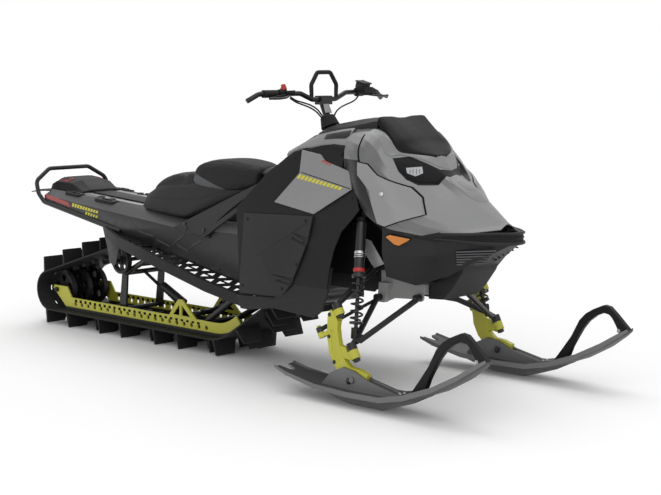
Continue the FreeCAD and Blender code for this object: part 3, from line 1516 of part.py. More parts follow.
windshield = windshield.cut(loft_sections(windshield_inner))
windshield = trimmed(windshield, [hood_outer, pod])
save("windshield", windshield)

# Console: tank cover in front of the seat, then the instrument cowl.
console_stations = [
    (-6.0, [(20.0, 846.0), (60.0, 862.0), (40.0, 876.0), (0.0, 884.0)]),
    (81.0, [(112.0, 800.0), (114.0, 866.0), (60.0, 892.0), (0.0, 912.0)]),
    (169.0, [(146.0, 790.0), (144.0, 896.0), (62.0, 936.0), (0.0, 976.0)]),
    (306.0, [(180.0, 830.0), (182.0, 960.0), (118.0, 1000.0), (0.0, 1046.0)]),
    (440.0, [(200.0, 860.0), (206.0, 1000.0), (146.0, 1052.0), (0.0, 1070.0)]),
    (600.0, [(200.0, 880.0), (212.0, 1020.0), (156.0, 1076.0), (0.0, 1086.0)]),
    (698.0, [(200.0, 900.0), (220.0, 1020.0), (170.0, 1076.0), (0.0, 1094.0)]),
]
console_outer = loft_sections([symmetric_section(x, half) for x, half in console_stations])
console_inner = []
for i, (x, half) in enumerate(console_stations):
    shift = 30.0 if i == 0 else 10.0 if i == len(console_stations) - 1 else 0.0
    console_inner.append(symmetric_section(x + shift, [(y - 6.0 if y > 0 else 0.0, z - (40.0 if k == 0 else 6.0)) for k, (y, z) in enumerate(half)]))
column_room = pin(on_column(-400.0), on_column(80.0), column_radius + 14.0)
console = console_outer.cut(loft_sections(console_inner))
console = trimmed(console, [column_room, seat, seat_base, frame_struts, hood] + body_sides)
save("console", console)

cowl_stations = [
    (381.0, [(74.0, 1030.0), (68.0, 1050.0), (40.0, 1058.0), (0.0, 1060.0)]),
    (442.0, [(156.0, 1030.0), (124.0, 1062.0), (70.0, 1084.0), (0.0, 1088.0)]),
    (520.0, [(158.0, 1040.0), (128.0, 1080.0), (80.0, 1102.0), (0.0, 1108.0)]),
    (660.0, [(156.0, 1060.0), (132.0, 1098.0), (80.0, 1125.0), (0.0, 1130.0)]),
    (806.0, [(150.0, 1070.0), (146.0, 1122.0), (100.0, 1134.0), (0.0, 1130.0)]),
]
cowl = loft_sections([symmetric_section(x, half) for x, half in cowl_stations])
cowl = trimmed(cowl, [console_outer, hood_outer, windshield, column_room])
save("instrument_cowl", cowl)

fuel_tank = loft_sections([
    symmetric_section(20.0, [(100.0, 641.0), (100.0, 790.0)]),
    symmetric_section(180.0, [(130.0, 641.0), (130.0, 860.0)]),
    symmetric_section(400.0, [(130.0, 660.0), (130.0, 860.0)]),
])
fuel_tank = trimmed(fuel_tank, [tunnel_outer, console_outer, seat, seat_base, frame_struts])
save("fuel_tank", fuel_tank)


# Steering column and bar, all turning together about the column's axis.
bar_centre = on_column(121.0)
bar_x = bar_centre.x + 14.0
bar_z = 1203.0
post = pin(on_column(-230.0), on_column(112.0), column_radius)
lower_stop = pin(on_column(-196.0), on_column(-190.3), 24.0)
upper_stop = pin(on_column(-149.7), on_column(-142.0), 24.0)
clamp = side_prism(
    [(bar_x - 24.0, 1180.0), (bar_x + 20.0, 1180.0), (bar_x + 20.0, 1219.0), (bar_x - 24.0, 1219.0)],
    -34.0, 34.0,
)
bar_points = [
    (bar_x, 0.0, bar_z), (bar_x, 72.0, bar_z), (bar_x - 4.0, 142.0, 1231.0), (
        bar_x - 26.0, 366.0, 1232.0,
    ), (bar_x - 46.0, 418.0, 1202.0),
]
bar_path = [(x, -y, z) for x, y, z in reversed(bar_points[1:])] + bar_points[1:]
handlebar = tube(bar_path, bar_radius, 40.0)
clamp = trimmed(clamp.fuse(post).fuse(lower_stop).fuse(upper_stop), [handlebar])
save("steering_post", clamp)
save("handlebar", handlebar)


def bar_sleeve(from_y, to_y, outer):
    run_start = Vector(bar_x - 4.0, 142.0, 1231.0)
    run_end = Vector(bar_x - 26.0, 366.0, 1232.0)
    share_one = (from_y - 142.0) / (366.0 - 142.0)
    share_two = (to_y - 142.0) / (366.0 - 142.0)
    return sleeve(
        run_start + (run_end - run_start) * share_one, run_start + (run_end - run_start) * share_two,
        outer, bar_radius,
    )


grip = bar_sleeve(272.0, 345.0, grip_radius)
save("grips", both_sides(grip))
throttle = fused(
    [
        bar_sleeve(222.0, 262.0, 19.0),
        rod((bar_x + 14.0, 242.0, 1226.0), (bar_x + 2.0, 330.0, 1212.0), 6.0),
        rod((bar_x + 10.0, 236.0, 1236.0), (bar_x + 40.0, 214.0, 1238.0), 9.0),
    ],
)
switch = rod((bar_x - 30.0, 232.0, 1244.0), (bar_x - 10.0, 232.0, 1244.0), 12.0)
right_controls = trimmed(mirrored(throttle).fuse(mirrored(switch)), [handlebar, mirrored(grip)])
brake = fused(
    [
        bar_sleeve(218.0, 262.0, 20.0),
        side_prism(
            [
                (bar_x + 6.0, 1226.0), (bar_x + 54.0, 1226.0), (bar_x + 54.0, 1254.0),
                (bar_x + 6.0, 1254.0),
            ],
            206.0, 262.0,
        ),
        rod((bar_x + 44.0, 246.0, 1232.0), (bar_x + 26.0, 384.0, 1206.0), 6.0),
    ],
)
left_controls = trimmed(brake, [handlebar, grip])
save("bar_controls", Part.Compound([right_controls, left_controls]))
strap_points = [
    (bar_x, -76.0, 1214.0), (bar_x, -78.0, 1268.0), (bar_x, -40.0, 1322.0), (bar_x, 40.0, 1322.0),
    (bar_x, 78.0, 1268.0), (bar_x, 76.0, 1214.0),
]
strap = trimmed(tube(strap_points, 7.0, 18.0), [handlebar])
save("bar_strap", strap)
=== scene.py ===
import json
import math

import bpy
from mathutils import Vector, Matrix


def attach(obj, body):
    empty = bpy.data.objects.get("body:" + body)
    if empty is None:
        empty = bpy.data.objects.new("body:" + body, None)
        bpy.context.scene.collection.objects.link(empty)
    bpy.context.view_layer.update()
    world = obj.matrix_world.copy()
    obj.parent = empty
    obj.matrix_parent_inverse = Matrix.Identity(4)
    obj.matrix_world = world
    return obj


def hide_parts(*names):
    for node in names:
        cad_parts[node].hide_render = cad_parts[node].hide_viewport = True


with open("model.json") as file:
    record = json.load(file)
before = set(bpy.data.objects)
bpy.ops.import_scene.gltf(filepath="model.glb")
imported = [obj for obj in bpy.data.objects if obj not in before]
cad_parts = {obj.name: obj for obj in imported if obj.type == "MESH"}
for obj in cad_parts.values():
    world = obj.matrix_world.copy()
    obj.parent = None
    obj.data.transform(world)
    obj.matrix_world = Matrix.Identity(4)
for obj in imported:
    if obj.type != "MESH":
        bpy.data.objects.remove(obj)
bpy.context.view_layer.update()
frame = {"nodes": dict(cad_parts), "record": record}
nodes = frame["nodes"]
scene = bpy.context.scene
print("frame loaded:", len(nodes), "nodes")


# Camera: stands off the sled's right front corner, level with the cowl, long lens
cameraView = {
    "place": (5.186, -4.835, 1.371), "target": (0.384, 0.0, 0.545), "roll": -0.26, "lens": 83.8,
    "sensor": 36.0,
}


def makeCamera():
    data = bpy.data.cameras.new("studioCamera")
    data.lens = cameraView["lens"]
    data.sensor_width = cameraView["sensor"]
    data.clip_end = 100.0
    camera = bpy.data.objects.new("studioCamera", data)
    scene.collection.objects.link(camera)
    place = Vector(cameraView["place"])
    look = Vector(cameraView["target"]) - place
    turn = look.to_track_quat("-Z", "Y").to_matrix().to_4x4()
    roll = Matrix.Rotation(math.radians(cameraView["roll"]), 4, "Z")
    camera.matrix_world = Matrix.Translation(place) @ turn @ roll
    scene.camera = camera


makeCamera()


# Shader helpers: a socket takes a value or a link
def feed(tree, socket, value):
    if isinstance(value, (int, float, tuple)):
        socket.default_value = value
    else:
        tree.links.new(value, socket)


# Node group with its sockets: colours have four values, all else is one number
def newGroup(name, inputs, outputs):
    group = bpy.data.node_groups.new(name, "ShaderNodeTree")
    for label, value in inputs.items():
        kind = "NodeSocketColor" if isinstance(value, tuple) else "NodeSocketFloat"
        socket = group.interface.new_socket(name=label, in_out="INPUT", socket_type=kind)
        socket.default_value = value
    for label in outputs:
        kind = "NodeSocketColor" if label == "Color" else "NodeSocketFloat"
        group.interface.new_socket(name=label, in_out="OUTPUT", socket_type=kind)
    start = group.nodes.new("NodeGroupInput")
    end = group.nodes.new("NodeGroupOutput")
    return group, start, end


def addMath(tree, operation, a, b=None, clamp=False):
    node = tree.nodes.new("ShaderNodeMath")
    node.operation = operation
    node.use_clamp = clamp
    feed(tree, node.inputs[0], a)
    if b is not None:
        feed(tree, node.inputs[1], b)
    return node.outputs[0]


def times(tree, a, b, clamp=False):
    return addMath(tree, "MULTIPLY", a, b, clamp)


def plus(tree, a, b, clamp=False):
    return addMath(tree, "ADD", a, b, clamp)


def minus(tree, a, b):
    return addMath(tree, "SUBTRACT", a, b)


def addNoise(tree, vector, scale, detail=3.0, roughness=0.55):
    noise = tree.nodes.new("ShaderNodeTexNoise")
    noise.inputs["Scale"].default_value = scale
    noise.inputs["Detail"].default_value = detail
    noise.inputs["Roughness"].default_value = roughness
    tree.links.new(vector, noise.inputs["Vector"])
    return noise.outputs["Fac"]


def addMix(tree, factor, a, b):
    mix = tree.nodes.new("ShaderNodeMix")
    mix.data_type = "RGBA"
    for name, kind, value in (("Factor", "VALUE", factor), ("A", "RGBA", a), ("B", "RGBA", b)):
        feed(tree, [s for s in mix.inputs if s.name == name and s.type == kind][0], value)
    return [s for s in mix.outputs if s.type == "RGBA"][0]


# Where the surface is, in the piece's own frame
def addPlace(tree):
    return tree.nodes.new("ShaderNodeTexCoord").outputs["Object"]


# Moulded grain: tone drifts slowly, fine pits break up the gloss
def makeGrainGroup():
    inputs = {"Base": (0.1, 0.1, 0.1, 1), "Rough": 0.5, "Grain Scale": 900.0, "Grain": 0.2, "Drift": 0.1}
    group, start, end = newGroup("mouldGrain", inputs, ("Color", "Roughness", "Height"))
    place = addPlace(group)
    slow = addNoise(group, place, 5.0, 4.0)
    fine = group.nodes.new("ShaderNodeTexNoise")
    fine.inputs["Detail"].default_value = 2.0
    group.links.new(place, fine.inputs["Vector"])
    group.links.new(start.outputs["Grain Scale"], fine.inputs["Scale"])
    tone = plus(group, times(group, minus(group, slow, 0.5), start.outputs["Drift"]), 1.0)
    scaled = group.nodes.new("ShaderNodeVectorMath")
    scaled.operation = "SCALE"
    group.links.new(start.outputs["Base"], scaled.inputs[0])
    group.links.new(tone, scaled.inputs["Scale"])
    group.links.new(scaled.outputs[0], end.inputs["Color"])
    drift = times(group, minus(group, slow, 0.5), 0.16)
    group.links.new(plus(group, start.outputs["Rough"], drift, True), end.inputs["Roughness"])
    group.links.new(times(group, fine.outputs["Fac"], start.outputs["Grain"]), end.inputs["Height"])
    return group


# Rubbed edges and painted edge highlights: pale scuffs and light lines where the surface turns sharply,
# broken up by noise
def makeWearAndHighlightGroup():
    inputs = {"Base": (0.1, 0.1, 0.1, 1), "Worn": (0.3, 0.3, 0.3, 1), "Amount": 0.4}
    group, start, end = newGroup("rubbedEdgesAndHighlights", inputs, ("Color", "Mask"))
    geometry = group.nodes.new("ShaderNodeNewGeometry")
    patches = addNoise(group, addPlace(group), 34.0, 5.0, 0.65)
    # Pale sharp edges: partly wear, partly a painted highlight
    sharp = times(group, minus(group, geometry.outputs["Pointiness"], 0.53), 14.0, True)
    mask = times(group, times(group, sharp, patches), start.outputs["Amount"], True)
    group.links.new(mask, end.inputs["Mask"])
    group.links.new(addMix(group, mask, start.outputs["Base"], start.outputs["Worn"]), end.inputs["Color"])
    return group


# Dust: dry film that gathers on surfaces facing up
def makeDustGroup():
    inputs = {"Base": (0.1, 0.1, 0.1, 1), "Rough": 0.5, "Amount": 0.05}
    group, start, end = newGroup("dryDust", inputs, ("Color", "Roughness"))
    place = addPlace(group)
    geometry = group.nodes.new("ShaderNodeNewGeometry")
    split = group.nodes.new("ShaderNodeSeparateXYZ")
    group.links.new(geometry.outputs["Normal"], split.inputs[0])
    up = addMath(group, "MAXIMUM", split.outputs["Z"], 0.0)
    cloud = addNoise(group, place, 9.0, 6.0, 0.7)
    amount = times(group, times(group, up, cloud), start.outputs["Amount"], True)
    group.links.new(addMix(group, amount, start.outputs["Base"], (0.5, 0.49, 0.47, 1)), end.inputs["Color"])
    rough = plus(group, start.outputs["Rough"], times(group, amount, 0.8), True)
    group.links.new(rough, end.inputs["Roughness"])
    return group


grainGroup = makeGrainGroup()
wearAndHighlightGroup = makeWearAndHighlightGroup()
dustGroup = makeDustGroup()


def addGroup(tree, group, **values):
    node = tree.nodes.new("ShaderNodeGroup")
    node.node_tree = group
    for name, value in values.items():
        feed(tree, node.inputs[name.replace("_", " ")], value)
    return node


# Share of a surface inside a region bounded by planes; both sides of the sled count alike
def addRegion(tree, planes, blur, facing):
    split = tree.nodes.new("ShaderNodeSeparateXYZ")
    if facing:
        tree.links.new(tree.nodes.new("ShaderNodeNewGeometry").outputs["Normal"], split.inputs[0])
    else:
        tree.links.new(addPlace(tree), split.inputs[0])
    across = addMath(tree, "ABSOLUTE", split.outputs["Y"])
    inside = None
    for alongX, alongY, alongZ, reach in planes:
        flat = plus(tree, times(tree, split.outputs["X"], alongX), times(tree, across, alongY))
        total = plus(tree, flat, times(tree, split.outputs["Z"], alongZ))
        share = times(tree, minus(tree, total, reach), 1.0 / blur, True)
        inside = share if inside is None else times(tree, inside, share)
    return inside


# Material from one row of values: base with its regions, then grain, worn edges with painted edge
# highlights, and dust
def makeFinish(
    name, color, rough=0.5, metallic=0.0, grain=0.15, grainScale=900.0, bump=0.2, drift=0.15, wearAndHighlight=0.3,
    wornAndHighlightColor=None, dust=0.08, coat=0.0, specular=0.5, regions=(),
):
    material = bpy.data.materials.new(name)
    material.use_nodes = True
    tree = material.node_tree
    shader = tree.nodes["Principled BSDF"]
    base = (*color, 1.0)
    wornAndHighlightColor = (*(wornAndHighlightColor or [min(c * 2.2 + 0.05, 1.0) for c in color]), 1.0)
    for planes, blur, facing, other in regions:
        base = addMix(tree, addRegion(tree, planes, blur, facing), base, (*other, 1.0))
    grainNode = addGroup(
        tree, grainGroup, Base=base, Rough=rough, Grain_Scale=grainScale, Grain=grain, Drift=drift,
    )
    wearAndHighlightNode = addGroup(tree, wearAndHighlightGroup, Base=grainNode.outputs["Color"], Worn=wornAndHighlightColor, Amount=wearAndHighlight)
    dustNode = addGroup(
        tree, dustGroup, Base=wearAndHighlightNode.outputs["Color"], Rough=grainNode.outputs["Roughness"], Amount=dust,
    )
    tree.links.new(dustNode.outputs["Color"], shader.inputs["Base Color"])
    tree.links.new(dustNode.outputs["Roughness"], shader.inputs["Roughness"])
    relief = tree.nodes.new("ShaderNodeBump")
    relief.inputs["Strength"].default_value = bump
    relief.inputs["Distance"].default_value = 0.001
    tree.links.new(grainNode.outputs["Height"], relief.inputs["Height"])
    tree.links.new(relief.outputs["Normal"], shader.inputs["Normal"])
    shader.inputs["Metallic"].default_value = metallic
    shader.inputs["Coat Weight"].default_value = coat
    shader.inputs["Coat Roughness"].default_value = 0.12
    shader.inputs["Specular IOR Level"].default_value = specular
    return material


# Values that several finishes share: the pale shells and the seat's cloth
greyShell = dict(
    rough=0.36, grain=0.06, grainScale=1800.0, bump=0.08, drift=0.08, wearAndHighlight=0.15, coat=0.15, specular=0.35,
)
seatCloth = dict(rough=0.62, grain=0.5, grainScale=620.0, bump=0.45, wearAndHighlight=0.1, dust=0.04, specular=0.28)
# Each region: planes that bound it, blur, whether it reads the normal, and its colour
finishValues = {
    "trackRubber": dict(
        color=(0.011, 0.011, 0.0115), rough=0.6, grainScale=500.0, bump=0.35, wearAndHighlight=0.35,
        wornAndHighlightColor=(0.07, 0.07, 0.07), dust=0.06, specular=0.3,
    ),
    "limePaint": dict(
        color=(0.47, 0.455, 0.035), rough=0.4, grain=0.05, bump=0.1, drift=0.12, wearAndHighlight=0.3,
        wornAndHighlightColor=(0.62, 0.61, 0.25), dust=0.03, coat=0.25, specular=0.35,
    ),
    "runnerPlastic": dict(color=(0.014, 0.014, 0.014), rough=0.45, specular=0.3),
    "wheelPlastic": dict(color=(0.012, 0.012, 0.0125), rough=0.48, specular=0.3),
    "darkSheet": dict(
        color=(0.030, 0.030, 0.032), rough=0.42, grain=0.08, grainScale=1500.0, bump=0.12, wearAndHighlight=0.35,
        wornAndHighlightColor=(0.25, 0.25, 0.26), specular=0.35,
    ),
    "tunnelSheet": dict(
        color=(0.019, 0.019, 0.020), rough=0.4, grain=0.08, grainScale=1500.0, bump=0.12, wearAndHighlight=0.35,
        wornAndHighlightColor=(0.3, 0.3, 0.31), specular=0.35,
        regions=[
            ([(-1, 0, 0, 0.6), (0, 0, -1, -0.53)], 0.004, False, (0.009, 0.009, 0.0095)),
            # Painted light: faces turned up are lighter, the flat top palest
            ([(0, 0, 1, 0.25)], 0.1, True, (0.058, 0.059, 0.060)),
            ([(0, 0, 1, 0.93)], 0.03, True, (0.15, 0.151, 0.153)),
        ],
    ),
    "strutGrey": dict(
        color=(0.020, 0.020, 0.021), rough=0.42, grain=0.1, grainScale=1500.0, bump=0.12, drift=0.1,
        wearAndHighlight=0.45, wornAndHighlightColor=(0.14, 0.14, 0.145), dust=0.02, specular=0.3,
    ),
    # Near black: the engine and the hood's inner faces, and the painted shade in the pod gaps, crease lines
    # and rail windows
    "bayDarkAndShade": dict(
        color=(0.004, 0.004, 0.0042), rough=0.7, grain=0.3, grainScale=200.0, bump=0.3, wearAndHighlight=0.1,
        wornAndHighlightColor=(0.02, 0.02, 0.02), dust=0.0, specular=0.12,
    ),
    "hoodGrey": dict(
        color=(0.25, 0.251, 0.253), dust=0.02, **greyShell,
        regions=[
            # Painted shade: faces turned to the side and forward are darker
            ([(0.3, 1, 0, 0.74)], 0.08, True, (0.13, 0.131, 0.133)),
            ([(-0.874, 0, -0.486, -1.194), (0, 0, -1, -0.968)], 0.002, False, (0.009, 0.009, 0.009)),
            ([(0, -1, 0, -0.157), (-1, 0, 0, -0.95)], 0.002, False, (0.012, 0.012, 0.012)),
            ([(0, -1, 0, -0.186), (-1, 0, 0, -0.8)], 0.002, False, (0.012, 0.012, 0.012)),
        ],
    ),
    "podGrey": dict(color=(0.255, 0.256, 0.258), dust=0.02, **greyShell),
    "stripSilver": dict(
        color=(0.33, 0.33, 0.335), rough=0.35, metallic=0.4, grain=0.1, grainScale=1500.0, bump=0.1,
        wearAndHighlight=0.3, wornAndHighlightColor=(0.5, 0.5, 0.5), specular=0.4,
    ),
    "bayFrame": dict(
        color=(0.010, 0.010, 0.0105), rough=0.42, grain=0.4, grainScale=300.0, bump=0.25, wearAndHighlight=0.25,
        wornAndHighlightColor=(0.12, 0.12, 0.12), specular=0.3,
        regions=[([(1, 0, 0, 0.815), (0, 0, -1, -0.5)], 0.004, False, (0.33, 0.33, 0.33))],
    ),
    "blackTube": dict(
        color=(0.009, 0.009, 0.0095), rough=0.35, grain=0.06, grainScale=1200.0, bump=0.1, wearAndHighlight=0.35,
        wornAndHighlightColor=(0.1, 0.1, 0.1), coat=0.15, specular=0.3,
    ),
    "blackPlastic": dict(
        color=(0.008, 0.008, 0.0085), rough=0.46, grain=0.3, grainScale=1400.0, bump=0.22, wearAndHighlight=0.3,
        wornAndHighlightColor=(0.06, 0.06, 0.06), dust=0.01, specular=0.2,
    ),
    "mouldedDark": dict(
        color=(0.017, 0.017, 0.0175), rough=0.46, grain=0.3, grainScale=1400.0, bump=0.22, wearAndHighlight=0.3,
        wornAndHighlightColor=(0.09, 0.09, 0.09), dust=0.01, specular=0.24,
    ),
    "slateGrey": dict(
        color=(0.085, 0.087, 0.092), rough=0.45, grain=0.15, grainScale=1600.0, bump=0.12, drift=0.1,
        wearAndHighlight=0.2, dust=0.04, specular=0.3,
    ),
    "greyPlastic": dict(color=(0.215, 0.216, 0.218), dust=0.03, **greyShell),
    "skiPlastic": dict(
        color=(0.062, 0.0625, 0.064), rough=0.5, grain=0.2, grainScale=900.0, bump=0.2, drift=0.25,
        wearAndHighlight=0.35, wornAndHighlightColor=(0.16, 0.16, 0.16), dust=0.03, specular=0.3,
        # Painted highlight: the side walls are lighter than the top
        regions=[([(0, 1, 0, 0.5)], 0.15, True, (0.16, 0.161, 0.163))],
    ),
    "redLens": dict(
        color=(0.3, 0.02, 0.02), rough=0.2, grain=0.1, grainScale=350.0, bump=0.1, coat=0.4, specular=0.4,
    ),
    "clearLens": dict(
        color=(0.4, 0.41, 0.42), rough=0.15, metallic=0.6, grain=0.5, grainScale=160.0, bump=0.4, drift=0.4,
        coat=1.0,
    ),
    "amberLens": dict(
        color=(0.62, 0.2, 0.02), rough=0.25, grain=0.4, grainScale=260.0, bump=0.2, coat=0.5, specular=0.4,
    ),
    "smokedPlastic": dict(
        color=(0.008, 0.008, 0.0083), rough=0.42, grain=0.05, grainScale=1500.0, bump=0.05, drift=0.05,
        wearAndHighlight=0.1, dust=0.0, specular=0.12,
    ),
    "seatCover": dict(color=(0.019, 0.019, 0.0195), **seatCloth),
    "saddleCover": dict(
        color=(0.010, 0.010, 0.0105), **seatCloth,
        regions=[
            (
                [(0, 1, 0, 0.1), (-0.281, 0, -0.960, -0.7075), (1, 0, 0, -0.396)], 0.003, False,
                (0.085, 0.087, 0.091),
            )
        ],
    ),
    "castAlloy": dict(
        color=(0.36, 0.36, 0.36), rough=0.45, metallic=0.55, grain=0.5, grainScale=300.0, bump=0.3,
        wearAndHighlight=0.3, wornAndHighlightColor=(0.6, 0.6, 0.6), specular=0.4,
    ),
    "brightMetal": dict(
        color=(0.55, 0.55, 0.56), rough=0.25, metallic=0.95, grain=0.2, grainScale=500.0, bump=0.1,
        wearAndHighlight=0.1, specular=0.5,
    ),
    "blackMetal": dict(
        color=(0.010, 0.010, 0.011), rough=0.3, metallic=0.1, grain=0.05, bump=0.08, wearAndHighlight=0.3,
        wornAndHighlightColor=(0.2, 0.2, 0.2), coat=0.2, specular=0.35,
    ),
    "gripRubber": dict(
        color=(0.008, 0.008, 0.008), rough=0.65, grain=0.5, grainScale=300.0, bump=0.5, specular=0.3,
    ),
    "redPlastic": dict(
        color=(0.4, 0.02, 0.018), rough=0.35, grain=0.1, grainScale=600.0, bump=0.1, specular=0.4,
    ),
    "decalYellow": dict(color=(0.5, 0.45, 0.03), rough=0.35, grain=0.05, bump=0.05, specular=0.35),
}
finishes = {name: makeFinish(name, **values) for name, values in finishValues.items()}

# Finish of each material slot, and of the nodes that have one of their own
slotFinish = {
    "track_rubber": "trackRubber", "lime_paint": "limePaint", "runner_plastic": "runnerPlastic",
    "wheel_plastic": "wheelPlastic", "dark_sheet": "darkSheet", "black_tube": "blackTube",
    "black_plastic": "blackPlastic", "grey_plastic": "greyPlastic", "red_lens": "redLens",
    "clear_lens": "clearLens", "amber_lens": "amberLens", "smoked_plastic": "smokedPlastic",
    "seat_cover": "seatCover", "cast_alloy": "castAlloy", "black_metal": "blackMetal",
    "grip_rubber": "gripRubber",
}
nodeFinish = {
    "ski_left": "skiPlastic", "ski_right": "skiPlastic", "side_body_left": "blackPlastic",
    "side_body_right": "blackPlastic", "lower_panel_left": "mouldedDark",
    "lower_panel_right": "mouldedDark", "toe_guard_left": "mouldedDark", "toe_guard_right": "mouldedDark",
    "nose_pan": "mouldedDark", "instrument_cowl": "mouldedDark", "frame_struts": "strutGrey",
    "tunnel": "tunnelSheet", "bulkhead": "bayFrame", "engine": "bayDarkAndShade",
    "running_board_left": "blackPlastic", "running_board_right": "blackPlastic",
}
slotOf = {part["node"]: part["material_slot"] for part in frame["record"]["subparts"]}
bodyOf = {}
for bodyName, members in frame["record"]["behaviour"]["bodies"].items():
    for member in members:
        bodyOf[member] = bodyName


# A node's own finish, or that of its slot
def finishFor(name):
    return nodeFinish.get(name, slotFinish[slotOf[name]])


for name, thing in nodes.items():
    for materialSlot in thing.material_slots:
        materialSlot.material = finishes[finishFor(name)]
print("finishes on nodes")


# Modelling helpers: selection, modifiers and shading
def clearSelection():
    bpy.ops.object.select_all(action="DESELECT")


def makeActive(thing):
    clearSelection()
    thing.select_set(True)
    bpy.context.view_layer.objects.active = thing


def applyAll(thing):
    makeActive(thing)
    for modifier in list(thing.modifiers):
        bpy.ops.object.modifier_apply(modifier=modifier.name)


def smoothByAngle(thing, angle):
    makeActive(thing)
    bpy.ops.object.shade_smooth_by_angle(angle=math.radians(angle))


# Rounding of a node's edges: angles in degrees, lengths in metres
rounding = {"merge": 0.00002, "flat": 0.6, "edge": 32.0, "segments": 2, "shade": 34.0, "weight": 60}


# Wide faces keep their own direction, so that the rounded edges take the whole turn
def crispFaces(thing):
    lean = thing.modifiers.new("lean", "WEIGHTED_NORMAL")
    lean.keep_sharp = True
    lean.weight = rounding["weight"]
    applyAll(thing)


def fixNormals(thing):
    makeActive(thing)
    bpy.ops.object.mode_set(mode="EDIT")
    bpy.ops.mesh.select_all(action="SELECT")
    bpy.ops.mesh.normals_make_consistent(inside=False)
    bpy.ops.object.mode_set(mode="OBJECT")


# Gives a finished piece its look, its body and slot, and hides the nodes that it stands for
def settle(thing, finish, body, instead=()):
    thing.data.materials.clear()
    thing.data.materials.append(finishes[finish])
    makeActive(thing)
    bpy.ops.object.transform_apply(location=True, rotation=True, scale=True)
    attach(thing, body)
    if instead:
        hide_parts(*instead)


# Copy of a node with merged faces and rounded edges, which stands for it
def softCopy(name, width):
    thing = bpy.data.objects.new(name + "Shape", nodes[name].data.copy())
    scene.collection.objects.link(thing)
    makeActive(thing)
    bpy.ops.object.mode_set(mode="EDIT")
    bpy.ops.mesh.select_all(action="SELECT")
    bpy.ops.mesh.remove_doubles(threshold=rounding["merge"])
    bpy.ops.mesh.dissolve_limited(angle_limit=math.radians(rounding["flat"]))
    bpy.ops.object.mode_set(mode="OBJECT")
    if width > 0:
        bevel = thing.modifiers.new("edges", "BEVEL")
        bevel.width = width
        bevel.segments = rounding["segments"]
        bevel.limit_method = "ANGLE"
        bevel.angle_limit = math.radians(rounding["edge"])
        bevel.use_clamp_overlap = False
        bevel.miter_outer = "MITER_ARC"
        applyAll(thing)
    smoothByAngle(thing, rounding["shade"])
    if width > 0:
        crispFaces(thing)
    settle(thing, finishFor(name), bodyOf[name], (name,))
    return thing


# Bevel of each copied node; zero leaves its edges as they are
softEdges = {
    "slide_rails": 0.0008, "rail_runners": 0.001, "rear_axle": 0.001, "carrier_axle": 0.001,
    "drive_shaft": 0.001, "tunnel": 0.0, "rear_bumper": 0.0, "running_board_left": 0.0006,
    "running_board_right": 0.0006, "snow_flap": 0.0008, "rear_cover": 0.006, "rear_lamps": 0.0006,
    "seat_base": 0.004, "bulkhead": 0.0012, "engine": 0.006, "steering_crank": 0.0, "spindle_left": 0.0025,
    "spindle_right": 0.0025, "tie_rod_left": 0.0, "tie_rod_right": 0.0, "front_arms": 0.0008,
    "front_shocks": 0.001, "front_springs": 0.0, "ski_left": 0.003, "ski_right": 0.003,
    "ski_handle_left": 0.0035, "ski_handle_right": 0.0035, "skid_arm_rear": 0.0008,
    "skid_arm_front": 0.0008, "frame_struts": 0.002, "side_body_left": 0.0018, "side_body_right": 0.0018,
    "upper_panel_left": 0.002, "upper_panel_right": 0.002, "lower_panel_left": 0.003,
    "lower_panel_right": 0.003, "toe_guard_left": 0.004, "toe_guard_right": 0.004, "nose_pan": 0.002,
    "nose_bumper": 0.002, "lamp_boxes": 0.0008, "headlamps": 0.0008, "console": 0.0025,
    "instrument_cowl": 0.004, "fuel_tank": 0.006, "steering_post": 0.001, "handlebar": 0.0, "grips": 0.0008,
    "bar_controls": 0.0015, "bar_strap": 0.0,
}
soft = {name: softCopy(name, width) for name, width in softEdges.items()}

# Tape wrapping makes the strap thicker than its tube
tapeThickness = 0.0025
wrap = soft["bar_strap"].modifiers.new("wrap", "DISPLACE")
wrap.strength = tapeThickness
wrap.mid_level = 0.0
applyAll(soft["bar_strap"])
print("edges rounded:", len(soft))


# Flat grid laid onto rows of places; a column past a row's last place closes it into a ring
def gridOn(name, rows, across):
    along = len(rows) - 1
    clearSelection()
    bpy.ops.mesh.primitive_grid_add(x_subdivisions=across, y_subdivisions=along, size=1.0)
    thing = bpy.context.object
    thing.name = name
    for vertex in thing.data.vertices:
        column = round((vertex.co.x + 0.5) * across)
        row = round((vertex.co.y + 0.5) * along)
        vertex.co = rows[row][column % len(rows[0])]
    return thing


# Open sheet whose faces look away from a place inside
def sheetFromRows(name, rows, inside):
    thing = gridOn(name, rows, len(rows[0]) - 1)
    thing.data.update()
    outward = sum(
        1 if face.normal.dot(face.center - Vector(inside)) > 0 else -1
        for face in thing.data.polygons
    )
    if outward < 0:
        makeActive(thing)
        bpy.ops.object.mode_set(mode="EDIT")
        bpy.ops.mesh.select_all(action="SELECT")
        bpy.ops.mesh.flip_normals()
        bpy.ops.object.mode_set(mode="OBJECT")
    return thing


# Wall of a sheet, grown inwards, with an optional bevel
def thicken(thing, thickness, bevel=0.0):
    wall = thing.modifiers.new("wall", "SOLIDIFY")
    wall.thickness = thickness
    wall.offset = -1.0
    if bevel:
        edge = thing.modifiers.new("edges", "BEVEL")
        edge.width = bevel
        edge.segments = 2
        edge.limit_method = "ANGLE"
        edge.angle_limit = math.radians(50)
        edge.use_clamp_overlap = False
    applyAll(thing)


# Point between b and c on a smooth curve through four points
def curveThrough(a, b, c, d, share):
    square = share * share
    cube = square * share
    return 0.5 * (
        (2 * b) + (c - a) * share + (2 * a - 5 * b + 4 * c - d) * square + (3 * b - a - 3 * c + d) * cube
    )


